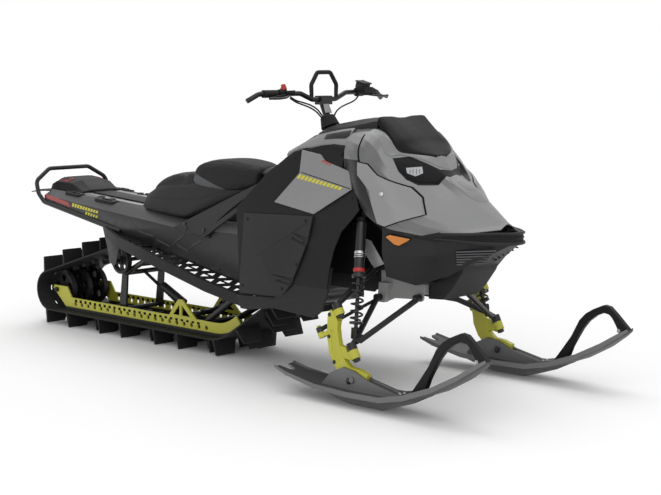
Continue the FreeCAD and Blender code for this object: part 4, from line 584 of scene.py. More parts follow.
# Each corner of a section becomes three points; its ends stay
def roundedSection(points, reach):
    out = [points[0]]
    for before, here, after in zip(points, points[1:], points[2:]):
        one = min(reach, (before - here).length * 0.3)
        two = min(reach, (after - here).length * 0.3)
        near = here + (before - here).normalized() * one
        far = here + (after - here).normalized() * two
        out += [near, here * 0.5 + near * 0.25 + far * 0.25, far]
    out.append(points[-1])
    return out


# Rows between stations follow one smooth curve through them
def denseRows(rows, steps):
    dense = []
    for i in range(len(rows) - 1):
        before = rows[max(i - 1, 0)]
        after = rows[min(i + 2, len(rows) - 1)]
        for step in range(steps):
            share = step / steps
            dense.append(
                [curveThrough(a, b, c, d, share) for a, b, c, d in zip(before, rows[i], rows[i + 1], after)]
            )
    dense.append(rows[-1])
    return dense


# Rows of a shell from half sections in millimetres, mirrored to the left
def stationRows(stations, steps, reach):
    rows = []
    for x, half in stations:
        right = [Vector((x, -y, z)) for y, z in half]
        left = [Vector((x, y, z)) for y, z in reversed(half) if y > 0]
        rows.append(roundedSection([p * 0.001 for p in right + left], reach))
    return denseRows(rows, steps)


# Hood: one moulded shell from the cowl to the nose, cut open for the lamps
hoodShape = {
    "stations": [
        (702, [
            (239, 938), (237, 968), (235, 1000), (228, 1022), (217, 1044), (199, 1062), (177, 1076),
            (149, 1086), (0, 1100),
        ]),
        (812, [
            (296, 850), (293, 900), (288, 945), (276, 985), (255, 1022), (228, 1052), (196, 1074),
            (160, 1090), (0, 1110),
        ]),
        (880, [
            (310, 765), (305, 830), (297, 890), (280, 935), (258, 972), (232, 1006), (204, 1036),
            (172, 1060), (0, 1092),
        ]),
        (945, [
            (312, 722), (308, 780), (300, 835), (283, 880), (262, 915), (234, 945), (194, 967), (158, 1000),
            (0, 1030),
        ]),
        (1020, [
            (308, 700), (303, 745), (293, 790), (268, 830), (235, 862), (185, 892), (143, 925), (95, 972),
            (0, 990),
        ]),
        (1100, [
            (285, 688), (278, 705), (262, 730), (232, 765), (190, 803), (140, 838), (80, 872), (58, 898),
            (0, 912),
        ]),
        (1200, [
            (225, 672), (216, 684), (202, 700), (180, 722), (150, 750), (112, 782), (75, 812), (45, 840),
            (0, 862),
        ]),
        (1290, [
            (150, 688), (144, 692), (138, 696), (126, 703), (110, 714), (88, 730), (66, 750), (38, 776),
            (0, 796),
        ]),
        (1384, [
            (46, 702), (43, 704), (40, 706), (36, 708), (31, 711), (25, 714), (18, 717), (10, 720),
            (0, 722),
        ]),
    ],
    "steps": 6, "edgeReach": 0.0045, "wall": 0.004, "inside": (1.0, 0, 0.8),
    "core": (0.95, 0, 0.6), "innerLimit": -0.002, "shade": 24.0,
    "patch": {
        "steps": 10, "noseFrom": 1300, "sideShare": 1.1, "upShare": 0.75, "bevelAngle": 50.0, "shade": 26.0,
    },
}
lampShape = {
    "out": (0.695, 0.719, 0.02),
    "rim": [
        (944, 195, 973), (995, 145, 977), (1040, 103, 949), (1085, 60, 923), (1095, 51, 901),
        (1073, 73, 870), (1016, 128, 874), (984, 159, 893), (961, 180, 924),
    ],
    "grow": 0.0058, "inner": -0.0245, "outer": 0.2,
}


# Prism standing on the lamp's flat back, used to open the hood
def lampCutter(side):
    outward = Vector(lampShape["out"]).normalized()
    points = [Vector(p) * 0.001 for p in lampShape["rim"]]
    centre = sum(points, Vector()) / len(points)
    flat = [p - outward * (p - centre).dot(outward) for p in points]
    grown = [p + (p - centre).normalized() * lampShape["grow"] for p in flat]
    count = len(grown)
    clearSelection()
    bpy.ops.mesh.primitive_cylinder_add(vertices=count, radius=1.0, depth=1.0)
    thing = bpy.context.object
    for vertex in thing.data.vertices:
        turn = math.atan2(vertex.co.x, vertex.co.y) / (2 * math.pi) * count
        reach = lampShape["outer"] if vertex.co.z > 0 else lampShape["inner"]
        p = grown[round(turn) % count] + outward * reach
        vertex.co = (p.x, p.y * side, p.z)
    fixNormals(thing)
    return thing


# Boolean with a helper solid, which is removed afterwards
def cutWith(thing, cutter, operation="DIFFERENCE"):
    cut = thing.modifiers.new("cut", "BOOLEAN")
    cut.object = cutter
    cut.operation = operation
    cut.solver = "EXACT"
    applyAll(thing)
    bpy.data.objects.remove(cutter)


# Inner faces of the hood shell are bare black plastic
def darkInside(thing):
    thing.data.materials.append(finishes["bayDarkAndShade"])
    for face in thing.data.polygons:
        out = face.center - Vector(hoodShape["core"])
        if face.normal.dot(out) < hoodShape["innerLimit"]:
            face.material_index = 1


def makeHood():
    rows = stationRows(hoodShape["stations"], hoodShape["steps"], hoodShape["edgeReach"])
    hood = sheetFromRows("hoodShell", rows, hoodShape["inside"])
    thicken(hood, hoodShape["wall"])
    for side in (-1, 1):
        cutWith(hood, lampCutter(side))
    smoothByAngle(hood, hoodShape["shade"])
    crispFaces(hood)
    settle(hood, "hoodGrey", "chassis", ("hood",))
    darkInside(hood)


makeHood()
print("hood moulded")


# Seat: a firm saddle over a sloping skirt, with a low roll behind
seatParts = {
    "skirt": [
        (-800, [(80, 677), (112, 683), (86, 726), (50, 734)]),
        (-735, [(140, 661), (172, 669), (112, 748), (70, 756)]),
        (-660, [(160, 653), (188, 661), (126, 776), (80, 783)]),
        (-560, [(165, 647), (195, 655), (134, 790), (84, 797)]),
        (-400, [(165, 639), (197, 648), (138, 800), (84, 806)]),
        (-300, [(160, 668), (186, 682), (134, 806), (82, 812)]),
        (-200, [(140, 712), (164, 724), (126, 808), (78, 814)]),
        (-90, [(112, 758), (136, 768), (110, 816), (66, 822)]),
        (-20, [(86, 788), (108, 797), (92, 824), (56, 830)]),
    ],
    "saddle": [
        (-402, [(104, 798), (134, 810), (114, 866), (62, 875)]),
        (-370, [(112, 786), (146, 798), (118, 886), (64, 897)]),
        (-310, [(116, 776), (150, 789), (116, 898), (62, 910)]),
        (-200, [(114, 770), (150, 783), (112, 903), (58, 915)]),
        (-100, [(104, 773), (144, 787), (104, 896), (52, 908)]),
        (-30, [(88, 786), (124, 800), (92, 882), (46, 895)]),
        (0, [(70, 800), (98, 812), (80, 868), (42, 881)]),
    ],
    "roll": [
        (-742, [(60, 738), (88, 744), (80, 760), (40, 766)]),
        (-700, [(90, 738), (120, 748), (106, 778), (60, 786)]),
        (-640, [(104, 748), (134, 758), (116, 806), (66, 814)]),
        (-560, [(108, 758), (140, 768), (120, 828), (66, 836)]),
        (-500, [(110, 764), (142, 776), (120, 832), (66, 840)]),
        (-474, [(110, 768), (142, 780), (118, 826), (64, 834)]),
        (-440, [(110, 772), (142, 784), (120, 842), (66, 850)]),
        (-402, [(104, 778), (132, 790), (112, 840), (62, 848)]),
    ],
    "steps": 4, "reach": 0.009, "voxel": 0.0045, "quickVoxel": 0.012, "weld": 0.00001,
    "pressure": 2.0, "quality": 6, "frames": 12, "cap": 0.004, "smoothing": (0.5, 3), "shade": 60.0,
}


# Closed body through rounded rings, its ends filled flat
def closedLoft(name, stations):
    rings = []
    for x, half in stations:
        ring = [Vector((x, -y, z)) * 0.001 for y, z in half]
        ring += [Vector((x, y, z)) * 0.001 for y, z in reversed(half)]
        looped = roundedSection([ring[-1]] + ring + [ring[0]], seatParts["reach"])
        rings.append(looped[1:-1])
    rows = denseRows(rings, seatParts["steps"])
    thing = gridOn(name, rows, len(rows[0]))
    makeActive(thing)
    bpy.ops.object.mode_set(mode="EDIT")
    bpy.ops.mesh.select_all(action="SELECT")
    bpy.ops.mesh.remove_doubles(threshold=seatParts["weld"])
    bpy.ops.mesh.select_all(action="DESELECT")
    bpy.ops.mesh.select_mode(type="EDGE")
    bpy.ops.mesh.select_non_manifold()
    bpy.ops.mesh.fill_holes(sides=0)
    bpy.ops.mesh.select_all(action="SELECT")
    bpy.ops.mesh.normals_make_consistent(inside=False)
    bpy.ops.object.mode_set(mode="OBJECT")
    return thing


# Pressure swells the padding; no point moves farther than the cap
def puff(thing):
    remesh = thing.modifiers.new("even", "REMESH")
    remesh.mode = "VOXEL"
    remesh.voxel_size = seatParts["voxel"]
    applyAll(thing)
    rest = [vertex.co.copy() for vertex in thing.data.vertices]
    cloth = thing.modifiers.new("swell", "CLOTH")
    cloth.settings.use_pressure = True
    cloth.settings.uniform_pressure_force = seatParts["pressure"]
    cloth.settings.effector_weights.gravity = 0.0
    cloth.settings.quality = seatParts["quality"]
    for number in range(1, seatParts["frames"] + 1):
        scene.frame_set(number)
    moved = thing.evaluated_get(bpy.context.evaluated_depsgraph_get())
    swollen = [vertex.co.copy() for vertex in moved.data.vertices]
    thing.modifiers.remove(cloth)
    scene.frame_set(1)
    for vertex, was, now in zip(thing.data.vertices, rest, swollen):
        step = now - was
        if step.length > seatParts["cap"]:
            step = step.normalized() * seatParts["cap"]
        vertex.co = was + step


# One padded part of the seat: lofted, swelled and smoothed
def makeSeatPart(label, finish):
    part = closedLoft("seat" + label.capitalize(), seatParts[label])
    puff(part)
    smooth = part.modifiers.new("smooth", "SMOOTH")
    smooth.factor, smooth.iterations = seatParts["smoothing"]
    applyAll(part)
    smoothByAngle(part, seatParts["shade"])
    settle(part, finish, "chassis", ("seat",) if label == "saddle" else ())
    return part


seatSkirt = makeSeatPart("skirt", "seatCover")
seatSaddle = makeSeatPart("saddle", "saddleCover")
seatRoll = makeSeatPart("roll", "seatCover")
print("seat padded")


# Bevel on the edges that turn by more than an angle
def roundEdges(thing, width, segments=2, angle=30.0):
    edge = thing.modifiers.new("edges", "BEVEL")
    edge.width = width
    edge.segments = segments
    edge.limit_method = "ANGLE"
    edge.angle_limit = math.radians(angle)
    edge.use_clamp_overlap = True
    applyAll(thing)


# Prism on a closed outline, pushed along one direction, with rounded edges
def prismFrom(name, outline, push, bevel=0.0, segments=2):
    count = len(outline)
    clearSelection()
    bpy.ops.mesh.primitive_cylinder_add(vertices=count, radius=1.0, depth=1.0)
    thing = bpy.context.object
    thing.name = name
    for vertex in thing.data.vertices:
        turn = math.atan2(vertex.co.x, vertex.co.y) / (2 * math.pi) * count
        spot = Vector(outline[round(turn) % count])
        vertex.co = spot + (Vector(push) if vertex.co.z > 0 else Vector())
    fixNormals(thing)
    if bevel:
        roundEdges(thing, bevel, segments)
    smoothByAngle(thing, 32.0)
    return thing


# The same prism on both sides, from an outline in millimetres on the left
def prismPair(name, points, push, bevel):
    pair = []
    for side in (-1, 1):
        outline = [mm(x, side * y, z) for x, y, z in points]
        pair.append(prismFrom(name, outline, mm(push[0], side * push[1], push[2]), bevel))
    return pair


# One object from several, under one name
def joinAll(name, things):
    clearSelection()
    for thing in things:
        thing.select_set(True)
    bpy.context.view_layer.objects.active = things[0]
    if len(things) > 1:
        bpy.ops.object.join()
    things[0].name = name
    return things[0]


# Round bar between two points, with rounded ends
def barBetween(name, start, end, radius, bevel=0.0, sides=24):
    a = Vector(start)
    b = Vector(end)
    clearSelection()
    bpy.ops.mesh.primitive_cylinder_add(vertices=sides, radius=radius, depth=(b - a).length)
    thing = bpy.context.object
    thing.name = name
    turn = (b - a).to_track_quat("Z", "Y").to_matrix().to_4x4()
    thing.matrix_world = Matrix.Translation((a + b) * 0.5) @ turn
    makeActive(thing)
    bpy.ops.object.transform_apply(location=True, rotation=True, scale=True)
    if bevel:
        roundEdges(thing, bevel)
    smoothByAngle(thing, 40.0)
    return thing


# Solid line of round section through a row of points
def lineThrough(name, points, radius):
    data = bpy.data.curves.new(name, "CURVE")
    data.dimensions = "3D"
    data.bevel_depth = radius
    data.bevel_resolution = 3
    data.use_fill_caps = True
    spline = data.splines.new("NURBS")
    spline.points.add(len(points) - 1)
    for point, spot in zip(spline.points, points):
        point.co = (*spot, 1.0)
    spline.order_u = 3
    spline.use_endpoint_u = True
    thing = bpy.data.objects.new(name, data)
    scene.collection.objects.link(thing)
    makeActive(thing)
    bpy.ops.object.convert(target="MESH")
    thing = bpy.context.object
    smoothByAngle(thing, 50.0)
    return thing


# Bolt with a washer and a six-sided head, standing on a surface
def bolt(place, outward, head=0.006, height=0.004):
    spot = Vector(place)
    normal = Vector(outward).normalized()
    washer = barBetween("washer", spot - normal * 0.001, spot + normal * 0.0012, head * 1.45, 0.0004, 20)
    cap = barBetween("boltHead", spot, spot + normal * height, head, 0.0006, 6)
    return [washer, cap]


# Push rivet with a domed head
def rivet(place, outward, radius=0.008):
    spot = Vector(place)
    normal = Vector(outward).normalized()
    return [
        barBetween("rivetRim", spot - normal * 0.001, spot + normal * 0.0014, radius, 0.0006, 20),
        barBetween("rivetPin", spot, spot + normal * 0.0024, radius * 0.5, 0.0007, 16),
    ]


# Millimetres to the scene's metres
def mm(*values):
    return tuple(value * 0.001 for value in values)


# Side panels lean in from one edge: reach of the edge, its height, and both leans
panelSide = {"reach": 352.0, "edge": 735.0, "upper": 0.511, "lower": 0.088}


def upperPlane(x, z):
    return panelSide["reach"] - panelSide["upper"] * (z - panelSide["edge"])


def lowerPlane(x, z):
    return panelSide["reach"] + panelSide["lower"] * (panelSide["edge"] - z)


# Plate lying on a side panel: outline as x and height, in millimetres
def sidePlate(name, outline, plane, proud, depth, side, bevel=0.0):
    points = [mm(x, side * (plane(x, z) + proud), z) for x, z in outline]
    return prismFrom(name, points, (0, -side * depth * 0.001, 0), bevel)


# Windshield: low smoked visor, one smooth shell
windshieldShape = {
    "stations": [
        (812, [(150, 1112), (148, 1138), (120, 1141), (60, 1140), (0, 1131)]),
        (865, [(157, 1062), (155, 1085), (120, 1098), (60, 1103), (0, 1101)]),
        (922, [(166, 1012), (164, 1036), (120, 1054), (60, 1061), (0, 1062)]),
        (955, [(157, 980), (154, 1002), (120, 1022), (60, 1034), (0, 1037)]),
        (1000, [(100, 972), (96, 992), (80, 998), (50, 1003), (0, 1006)]),
        (1034, [(34, 960), (30, 980), (22, 983), (10, 984), (0, 984)]),
    ],
    "steps": 5, "reach": 0.012, "wall": 0.0035, "bevel": 0.001, "inside": (0.9, 0, 0.95), "shade": 38.0,
}
rows = stationRows(windshieldShape["stations"], windshieldShape["steps"], windshieldShape["reach"])
windshield = sheetFromRows("windshieldShell", rows, windshieldShape["inside"])
thicken(windshield, windshieldShape["wall"], windshieldShape["bevel"])
smoothByAngle(windshield, windshieldShape["shade"])
settle(windshield, "smokedPlastic", "chassis", ("windshield",))


# Patch of the hood's skin, lifted off it and trimmed to an outline
def hoodPatch(name, lift, wall, cutter, bevel):
    values = hoodShape["patch"]
    stations = []
    for x, half in hoodShape["stations"]:
        raised = [
            (y + lift * values["sideShare"] if y > 0 else 0, z + lift * values["upShare"])
            for y, z in half
        ]
        stations.append((x + (lift if x > values["noseFrom"] else 0), raised))
    rows = stationRows(stations, values["steps"], hoodShape["edgeReach"])
    patch = sheetFromRows(name, rows, hoodShape["inside"])
    thicken(patch, wall)
    cutWith(patch, cutter, "INTERSECT")
    if bevel:
        roundEdges(patch, bevel, angle=values["bevelAngle"])
    smoothByAngle(patch, values["shade"])
    return patch


# Side pods: raised plates over the flanks of the hood, each in a dark outline of painted shadow, with a dark
# line of painted crease shade above it
podShape = {
    "plate": {
        "outline": [
            (833, 959), (844, 908), (913, 848), (931, 796), (971, 711), (1005, 709), (1129, 758),
            (1089, 820), (1043, 860), (928, 909), (872, 951),
        ],
        "lift": 8, "wall": 0.008, "bevel": 0.0018,
    },
    # Painted shadow: dark outline just larger than the plate
    "shadowGap": {
        "outline": [
            (829, 962), (841, 906), (910, 846), (928, 795), (968, 707), (1005, 705), (1134, 757),
            (1091, 823), (1045, 863), (929, 912), (873, 955),
        ],
        "lift": 1.4, "wall": 0.003, "bevel": 0.0,
    },
    # Painted shade: dark line along the crease above the plate
    "seam": {
        "outline": [
            (831, 960), (808, 1004), (796, 1052), (790, 1068), (795, 1069), (802, 1053), (814, 1006),
            (837, 962),
        ],
        "lift": 1.4, "wall": 0.003, "bevel": 0.0,
    },
    "near": 150, "reach": 200,
}


# One patch of the hood's flank: plate, painted shadow outline, painted crease shade line
def podPatch(name, kind, side):
    values = podShape[kind]
    outline = [mm(x, side * podShape["near"], z) for x, z in values["outline"]]
    cutter = prismFrom("podRoom", outline, mm(0, side * podShape["reach"], 0))
    return hoodPatch(name, values["lift"], values["wall"], cutter, values["bevel"])


pods = []
shadowGaps = []
for side in (-1, 1):
    pods.append(podPatch("podShell", "plate", side))
    shadowGaps.append(podPatch("podShadowGap", "shadowGap", side))
    shadowGaps.append(podPatch("podShadowGap", "seam", side))
settle(joinAll("sidePodShells", pods), "podGrey", "chassis", ("side_pods",))
settle(joinAll("podShadowGaps", shadowGaps), "bayDarkAndShade", "chassis")
pieces = []
for side in (-1, 1):
    pieces += bolt(mm(975, side * 306, 838), (0.36, side * 0.83, 0.42), 0.007, 0.004)
settle(joinAll("podBolts", pieces), "brightMetal", "chassis")

# Brow over the lamps, the dark slit under it and the ridge down the nose
noseTrim = {
    "brow": [
        (0, 1000), (48, 1000), (100, 998), (142, 1010), (160, 1040), (170, 1070), (200, 1060), (214, 1000),
        (198, 984), (165, 990), (111, 972), (48, 938), (0, 926),
    ],
    "slit": [(0, 922), (46, 928), (58, 918), (48, 902), (20, 896), (0, 894)],
    "ridge": [(1112, 0), (1112, 44), (1140, 54), (1210, 50), (1256, 34), (1274, 12), (1278, 0)],
    "scoop": [(1146, 0), (1146, 30), (1166, 36), (1204, 30), (1218, 12), (1220, 0)],
}


# Cutter on an outline seen from the front: its left half, mirrored
def fromFront(name, half, x0, x1):
    outline = half + [(-y, z) for y, z in reversed(half[1:-1])]
    return prismFrom(name, [mm(x0, y, z) for y, z in outline], mm(x1 - x0, 0, 0))


# The same on an outline seen from above
def fromAbove(name, half, z0, z1):
    outline = half + [(x, -y) for x, y in reversed(half[1:-1])]
    return prismFrom(name, [mm(x, y, z0) for x, y in outline], mm(0, 0, z1 - z0))


brow = hoodPatch("hoodBrow", 3.0, 0.006, fromFront("browRoom", noseTrim["brow"], 860, 1260), 0.0014)
settle(brow, "greyPlastic", "chassis")
slit = hoodPatch("lampSlit", 1.6, 0.004, fromFront("slitRoom", noseTrim["slit"], 1040, 1240), 0.0006)
settle(slit, "mouldedDark", "chassis")
ridge = hoodPatch("noseRidge", 2.2, 0.005, fromAbove("ridgeRoom", noseTrim["ridge"], 700, 1000), 0.0012)
settle(ridge, "greyPlastic", "chassis")
scoop = hoodPatch("noseScoop", 3.4, 0.003, fromAbove("scoopRoom", noseTrim["scoop"], 700, 1000), 0.0008)
settle(scoop, "greyPlastic", "chassis")
print("nose trimmed")

# Shoulder strips along both sides of the console: stations with upper and lower edge, and a dark tray
shoulder = {
    "stations": [
        (300, (156, 985), (184, 966)), (345, (157, 1004), (192, 982)), (399, (159, 1027), (203, 999)),
        (479, (160, 1058), (211, 1009)), (552, (160, 1073), (213, 1025)), (620, (163, 1084), (217, 1032)),
        (700, (168, 1092), (226, 1029)),
    ],
    "tray": [(540, 0.3), (690, 0.18), (700, 0.55), (684, 0.72), (548, 0.72)],
    "wall": 0.004, "bevel": 0.0012, "inside": (0.5, 0, 0.8), "shade": 50.0,
}


# Place on a strip, a share of the way from its upper to its lower edge
def shoulderSpot(x, share):
    for one, two in zip(shoulder["stations"], shoulder["stations"][1:]):
        if one[0] <= x <= two[0]:
            t = (x - one[0]) / (two[0] - one[0])
            top = [one[1][k] + (two[1][k] - one[1][k]) * t for k in (0, 1)]
            low = [one[2][k] + (two[2][k] - one[2][k]) * t for k in (0, 1)]
            return x, top[0] + (low[0] - top[0]) * share + 3, top[1] + (low[1] - top[1]) * share + 4


for side in (-1, 1):
    rows = []
    for x, top, low in shoulder["stations"]:
        crown = ((top[0] + low[0]) / 2 + 2, (top[1] + low[1]) / 2 + 3)
        across = [(top[0] - 5, top[1] - 8), top, crown, low, (low[0] - 4, low[1] - 10)]
        rows.append([Vector(mm(x, side * y, z)) for y, z in across])
    strip = sheetFromRows("shoulderStrip", rows, shoulder["inside"])
    thicken(strip, shoulder["wall"], shoulder["bevel"])
    smoothByAngle(strip, shoulder["shade"])
    settle(strip, "greyPlastic", "chassis")
    spots = [shoulderSpot(x, share) for x, share in shoulder["tray"]]
    outline = [mm(x, side * y, z) for x, y, z in spots]
    tray = prismFrom("stripTray", outline, mm(0, -side * 4, -4), shoulder["bevel"])
    settle(tray, "mouldedDark", "chassis")

# Side panels: stripes, fold lines, rivets
panelTrim = {
    "stripe": {"from": (470, 876), "to": (752, 840), "height": 17, "count": 12, "slant": 9, "fill": 0.72},
    "marks": {"from": (584, 948), "to": (646, 934), "height": 9, "count": 4, "slant": 5, "fill": 0.6},
    "folds": [
        {"line": ((486, 901), (800, 849)), "half": 1.6, "plane": upperPlane, "proud": 10.2, "bevel": 0.0006},
        {"line": ((286, 526), (612, 700)), "half": 2.2, "plane": lowerPlane, "proud": 13.4, "bevel": 0.0008},
    ],
    "rivets": [(402, 960), (420, 800), (680, 986), (822, 812)],
    "lowerRivets": [(240, 690), (600, 706), (232, 400), (480, 410), (560, 520)],
}


# Row of slanted dashes on a side, lower towards its end
dash = {"taper": 0.35, "depth": 1.4}


def dashRow(name, shape, plane, proud, side):
    start, end = shape["from"], shape["to"]
    things = []
    for i in range(shape["count"]):
        a = i / shape["count"]
        b = a + shape["fill"] / shape["count"]
        taper = 1.0 - dash["taper"] * a
        low = [(start[0] + (end[0] - start[0]) * t, start[1] + (end[1] - start[1]) * t) for t in (a, b)]
        tall = shape["height"] * taper
        outline = low + [(x + shape["slant"], z + tall) for x, z in reversed(low)]
        things.append(sidePlate(name, outline, plane, proud, dash["depth"], side))
    return joinAll(name, things)


for side in (-1, 1):
    stripe = dashRow("sideStripe", panelTrim["stripe"], upperPlane, 9.8, side)
    settle(stripe, "decalYellow", "chassis")
    marks = dashRow("sideMarks", panelTrim["marks"], upperPlane, 9.8, side)
    settle(marks, "redPlastic", "chassis")
    lines = []
    for line in panelTrim["folds"]:
        (x1, z1), (x2, z2) = line["line"]
        half = line["half"]
        outline = [(x1, z1 - half), (x2, z2 - half), (x2, z2 + half), (x1, z1 + half)]
        lines.append(sidePlate("foldLine", outline, line["plane"], line["proud"], 3.0, side, line["bevel"]))
    settle(joinAll("panelFolds", lines), "mouldedDark", "chassis")
    pieces = []
    for x, z in panelTrim["rivets"]:
        proud = 9 if 430 < x < 800 else 0
        spot = mm(x, side * (upperPlane(x, z) + proud), z)
        pieces += rivet(spot, (0, side, panelSide["upper"]))
    for x, z in panelTrim["lowerRivets"]:
        pieces += rivet(mm(x, side * (lowerPlane(x, z) + 12), z), (0, side, -panelSide["lower"]))
    settle(joinAll("panelRivets", pieces), "blackPlastic", "chassis")
print("side panels trimmed")


# Bumper: three bands round the nose, each with its own section as reach and height
bumper = {
    "path": [
        (1200, -236), (1266, -184), (1330, -134), (1382, -86), (1430, -42), (1438, -20), (1439, 0),
        (1438, 20), (1430, 42), (1382, 86), (1330, 134), (1266, 184), (1200, 236),
    ],
    "lip": [(-6, 693), (4, 694), (7, 690), (6, 684), (-2, 681)],
    "rib": [(-2, 675), (3, 673), (3, 667), (-2, 665)],
    "chin": [(-3, 658), (6, 655), (9, 648), (4, 641), (-8, 640)],
    "level": 677, "inside": (1.1, 0, 0.66), "bevel": 0.0008, "shade": 40.0,
    "endShare": 0.35, "endStep": 0.25,
}


# One band along the path, thinned at both ends
def bumperBand(name, kind, wall, finish):
    path = bumper["path"]
    level = bumper["level"]
    rows = []
    for i, (x, y) in enumerate(path):
        ends = min(1.0, bumper["endShare"] + bumper["endStep"] * min(i, len(path) - 1 - i))
        before = Vector(path[max(i - 1, 0)])
        after = Vector(path[min(i + 1, len(path) - 1)])
        along = (after - before).normalized()
        out = Vector((along.y, -along.x)) if along.y > 0 else Vector((-along.y, along.x))
        row = []
        for reach, z in bumper[kind]:
            spot = (x + out.x * reach * ends, y + out.y * reach * ends, level + (z - level) * ends)
            row.append(Vector(mm(*spot)))
        rows.append(row)
    band = sheetFromRows(name, rows, bumper["inside"])
    thicken(band, wall, bumper["bevel"])
    smoothByAngle(band, bumper["shade"])
    settle(band, finish, "chassis")


bumperBand("bumperLip", "lip", 0.003, "mouldedDark")
bumperBand("bumperRib", "rib", 0.002, "blackPlastic")
bumperBand("bumperChin", "chin", 0.003, "mouldedDark")

# Dark wedges that lead from the marker lamps into the bumper
wedge = [(1122, 272, 671), (1212, 216, 694), (1224, 207, 676), (1206, 216, 652)]
wedges = joinAll("bumperWedges", prismPair("bumperWedge", wedge, (5, 9, 0), 0.002))
settle(wedges, "blackPlastic", "chassis")

# Marker lamps: amber lens in a dark bezel beside the bumper
markerOutline = [
    (1004, 306, 668), (1030, 310, 677), (1114, 283, 664), (1102, 280, 656), (1062, 289, 634),
    (1042, 296, 639),
]
lenses = []
bezels = []
for side in (-1, 1):
    spots = [Vector(mm(x, side * y, z)) for x, y, z in markerOutline]
    middle = sum(spots, Vector()) / len(spots)
    outline = [p + Vector(mm(2.5, side, 0)) for p in spots]
    lenses.append(prismFrom("markerLens", outline, mm(4.0, side * 12, 0), 0.003, 3))
    outline = [middle + (p - middle) * 1.16 + Vector(mm(-2, -side * 4, 0)) for p in spots]
    bezels.append(prismFrom("markerBezel", outline, mm(3.0, side * 9.5, 0), 0.003, 3))
settle(joinAll("markerLenses", lenses), "amberLens", "chassis", ("marker_lamps",))
settle(joinAll("markerBezels", bezels), "blackPlastic", "chassis")

# Louvres on both flanks under the bumper: first and last line by its rear and front end
louvreShape = {
    "rear": [(1256, 170, 616), (1240, 146, 562)], "front": [(1376, 67, 622), (1292, 24, 562)], "count": 6,
    "depth": 5, "proud": 8,
}
depth = louvreShape["depth"]
proud = louvreShape["proud"]
louvres = []
for side in (-1, 1):
    for i in range(louvreShape["count"]):
        share = i / (louvreShape["count"] - 1)
        ends = []
        for corners in (louvreShape["rear"], louvreShape["front"]):
            ends.append([one + (two - one) * share for one, two in zip(*corners)])
        (x1, y1, z1), (x2, y2, z2) = ends
        corners = [(x1, y1, z1), (x2, y2, z2), (x2, y2, z2 - depth), (x1, y1, z1 - depth)]
        outline = [mm(x, side * y, z) for x, y, z in corners]
        louvres.append(prismFrom("louvre", outline, mm(proud * 0.68, side * proud * 0.73, 0), 0.0008))
settle(joinAll("chinLouvres", louvres), "slateGrey", "chassis")
print("bumper trimmed")

# Bright bracket plate behind each shock
plate = [(786, 202, 636), (826, 202, 628), (900, 202, 537), (843, 202, 515), (786, 202, 577)]
plates = joinAll("shockPlates", prismPair("shockPlate", plate, (0, 4, 0), 0.001))
settle(plates, "castAlloy", "chassis")


# Fine cord laid on the surface of a padded part
def seamLine(part, points, radius=0.0016, steps=8):
    spots = []
    places = [Vector(mm(*p)) for p in points]
    for i in range(len(places) - 1):
        for step in range(steps):
            spots.append(places[i].lerp(places[i + 1], step / steps))
    spots.append(places[-1])
    laid = []
    for spot in spots:
        _, place, normal, _ = part.closest_point_on_mesh(spot)
        laid.append(place - normal * radius * 0.25)
    return lineThrough("seam", laid, radius)


# Seams of the seat's left half: the part, then the points that the cord passes
seatSeams = [
    (seatSkirt, [
        (-770, 118, 712), (-700, 160, 722), (-600, 186, 728), (-450, 190, 732), (-330, 185, 740),
        (-200, 164, 772), (-90, 134, 800),
    ]),
    (seatSaddle, [(-390, 126, 838), (-300, 138, 862), (-200, 134, 862), (-100, 124, 858), (-30, 106, 852)]),
    (seatSaddle, [(-395, 90, 852), (-300, 98, 898), (-200, 92, 908), (-100, 84, 902), (-30, 72, 886)]),
    (seatRoll, [(-700, 116, 766), (-600, 130, 796), (-500, 131, 812), (-420, 122, 812)]),
]
seams = []
for side in (-1, 1):
    for part, points in seatSeams:
        seams.append(seamLine(part, [(x, side * y, z) for x, y, z in points]))
settle(joinAll("seatSeams", seams), "gripRubber", "chassis")

# Rear of the tunnel: slots in the cover, anchor pads, strips and the rear lamp's ribs
tail = {
    "pads": [(-1308, 158, 138), (-1040, 160, 168)],
    "padWidth": 46, "padHeight": 9,
    "slots": [(-1470, -96), (-1470, 96)],
    "slotSize": (78, 40),
    "coverTop": [
        (-1534, 140, 738, 70, 758), (-1500, 140, 752, 70, 773), (-1385, 122, 746, 60, 764),
        (-1300, 110, 706, 60, 712),
    ],
    "topPad": (-1285, -812, 62), "silver": (-1290, -812, 84, 118),
    "slope": {"rear": -1500.0, "high": 712.0, "low": 669.0, "run": 635.0},
    "lampRibs": {"count": 9, "from": -80, "step": 20, "foot": (-1544.2, 722), "top": (-1535.2, 746)},
}


# Height of the sloping tunnel top
def tunnelTop(x):
    slope = tail["slope"]
    return slope["high"] + (slope["low"] - slope["high"]) * (x - slope["rear"]) / slope["run"]


# Slot-shaped outline with round ends, as x and y
def stadium(x, y, length, width, steps=8):
    points = []
    for end in (1, -1):
        for i in range(steps + 1):
            turn = math.pi * i / steps - math.pi / 2
            px = x + end * ((length - width) / 2 + math.cos(turn) * width / 2)
            points.append((px, y + end * math.sin(turn) * width / 2))
    return points


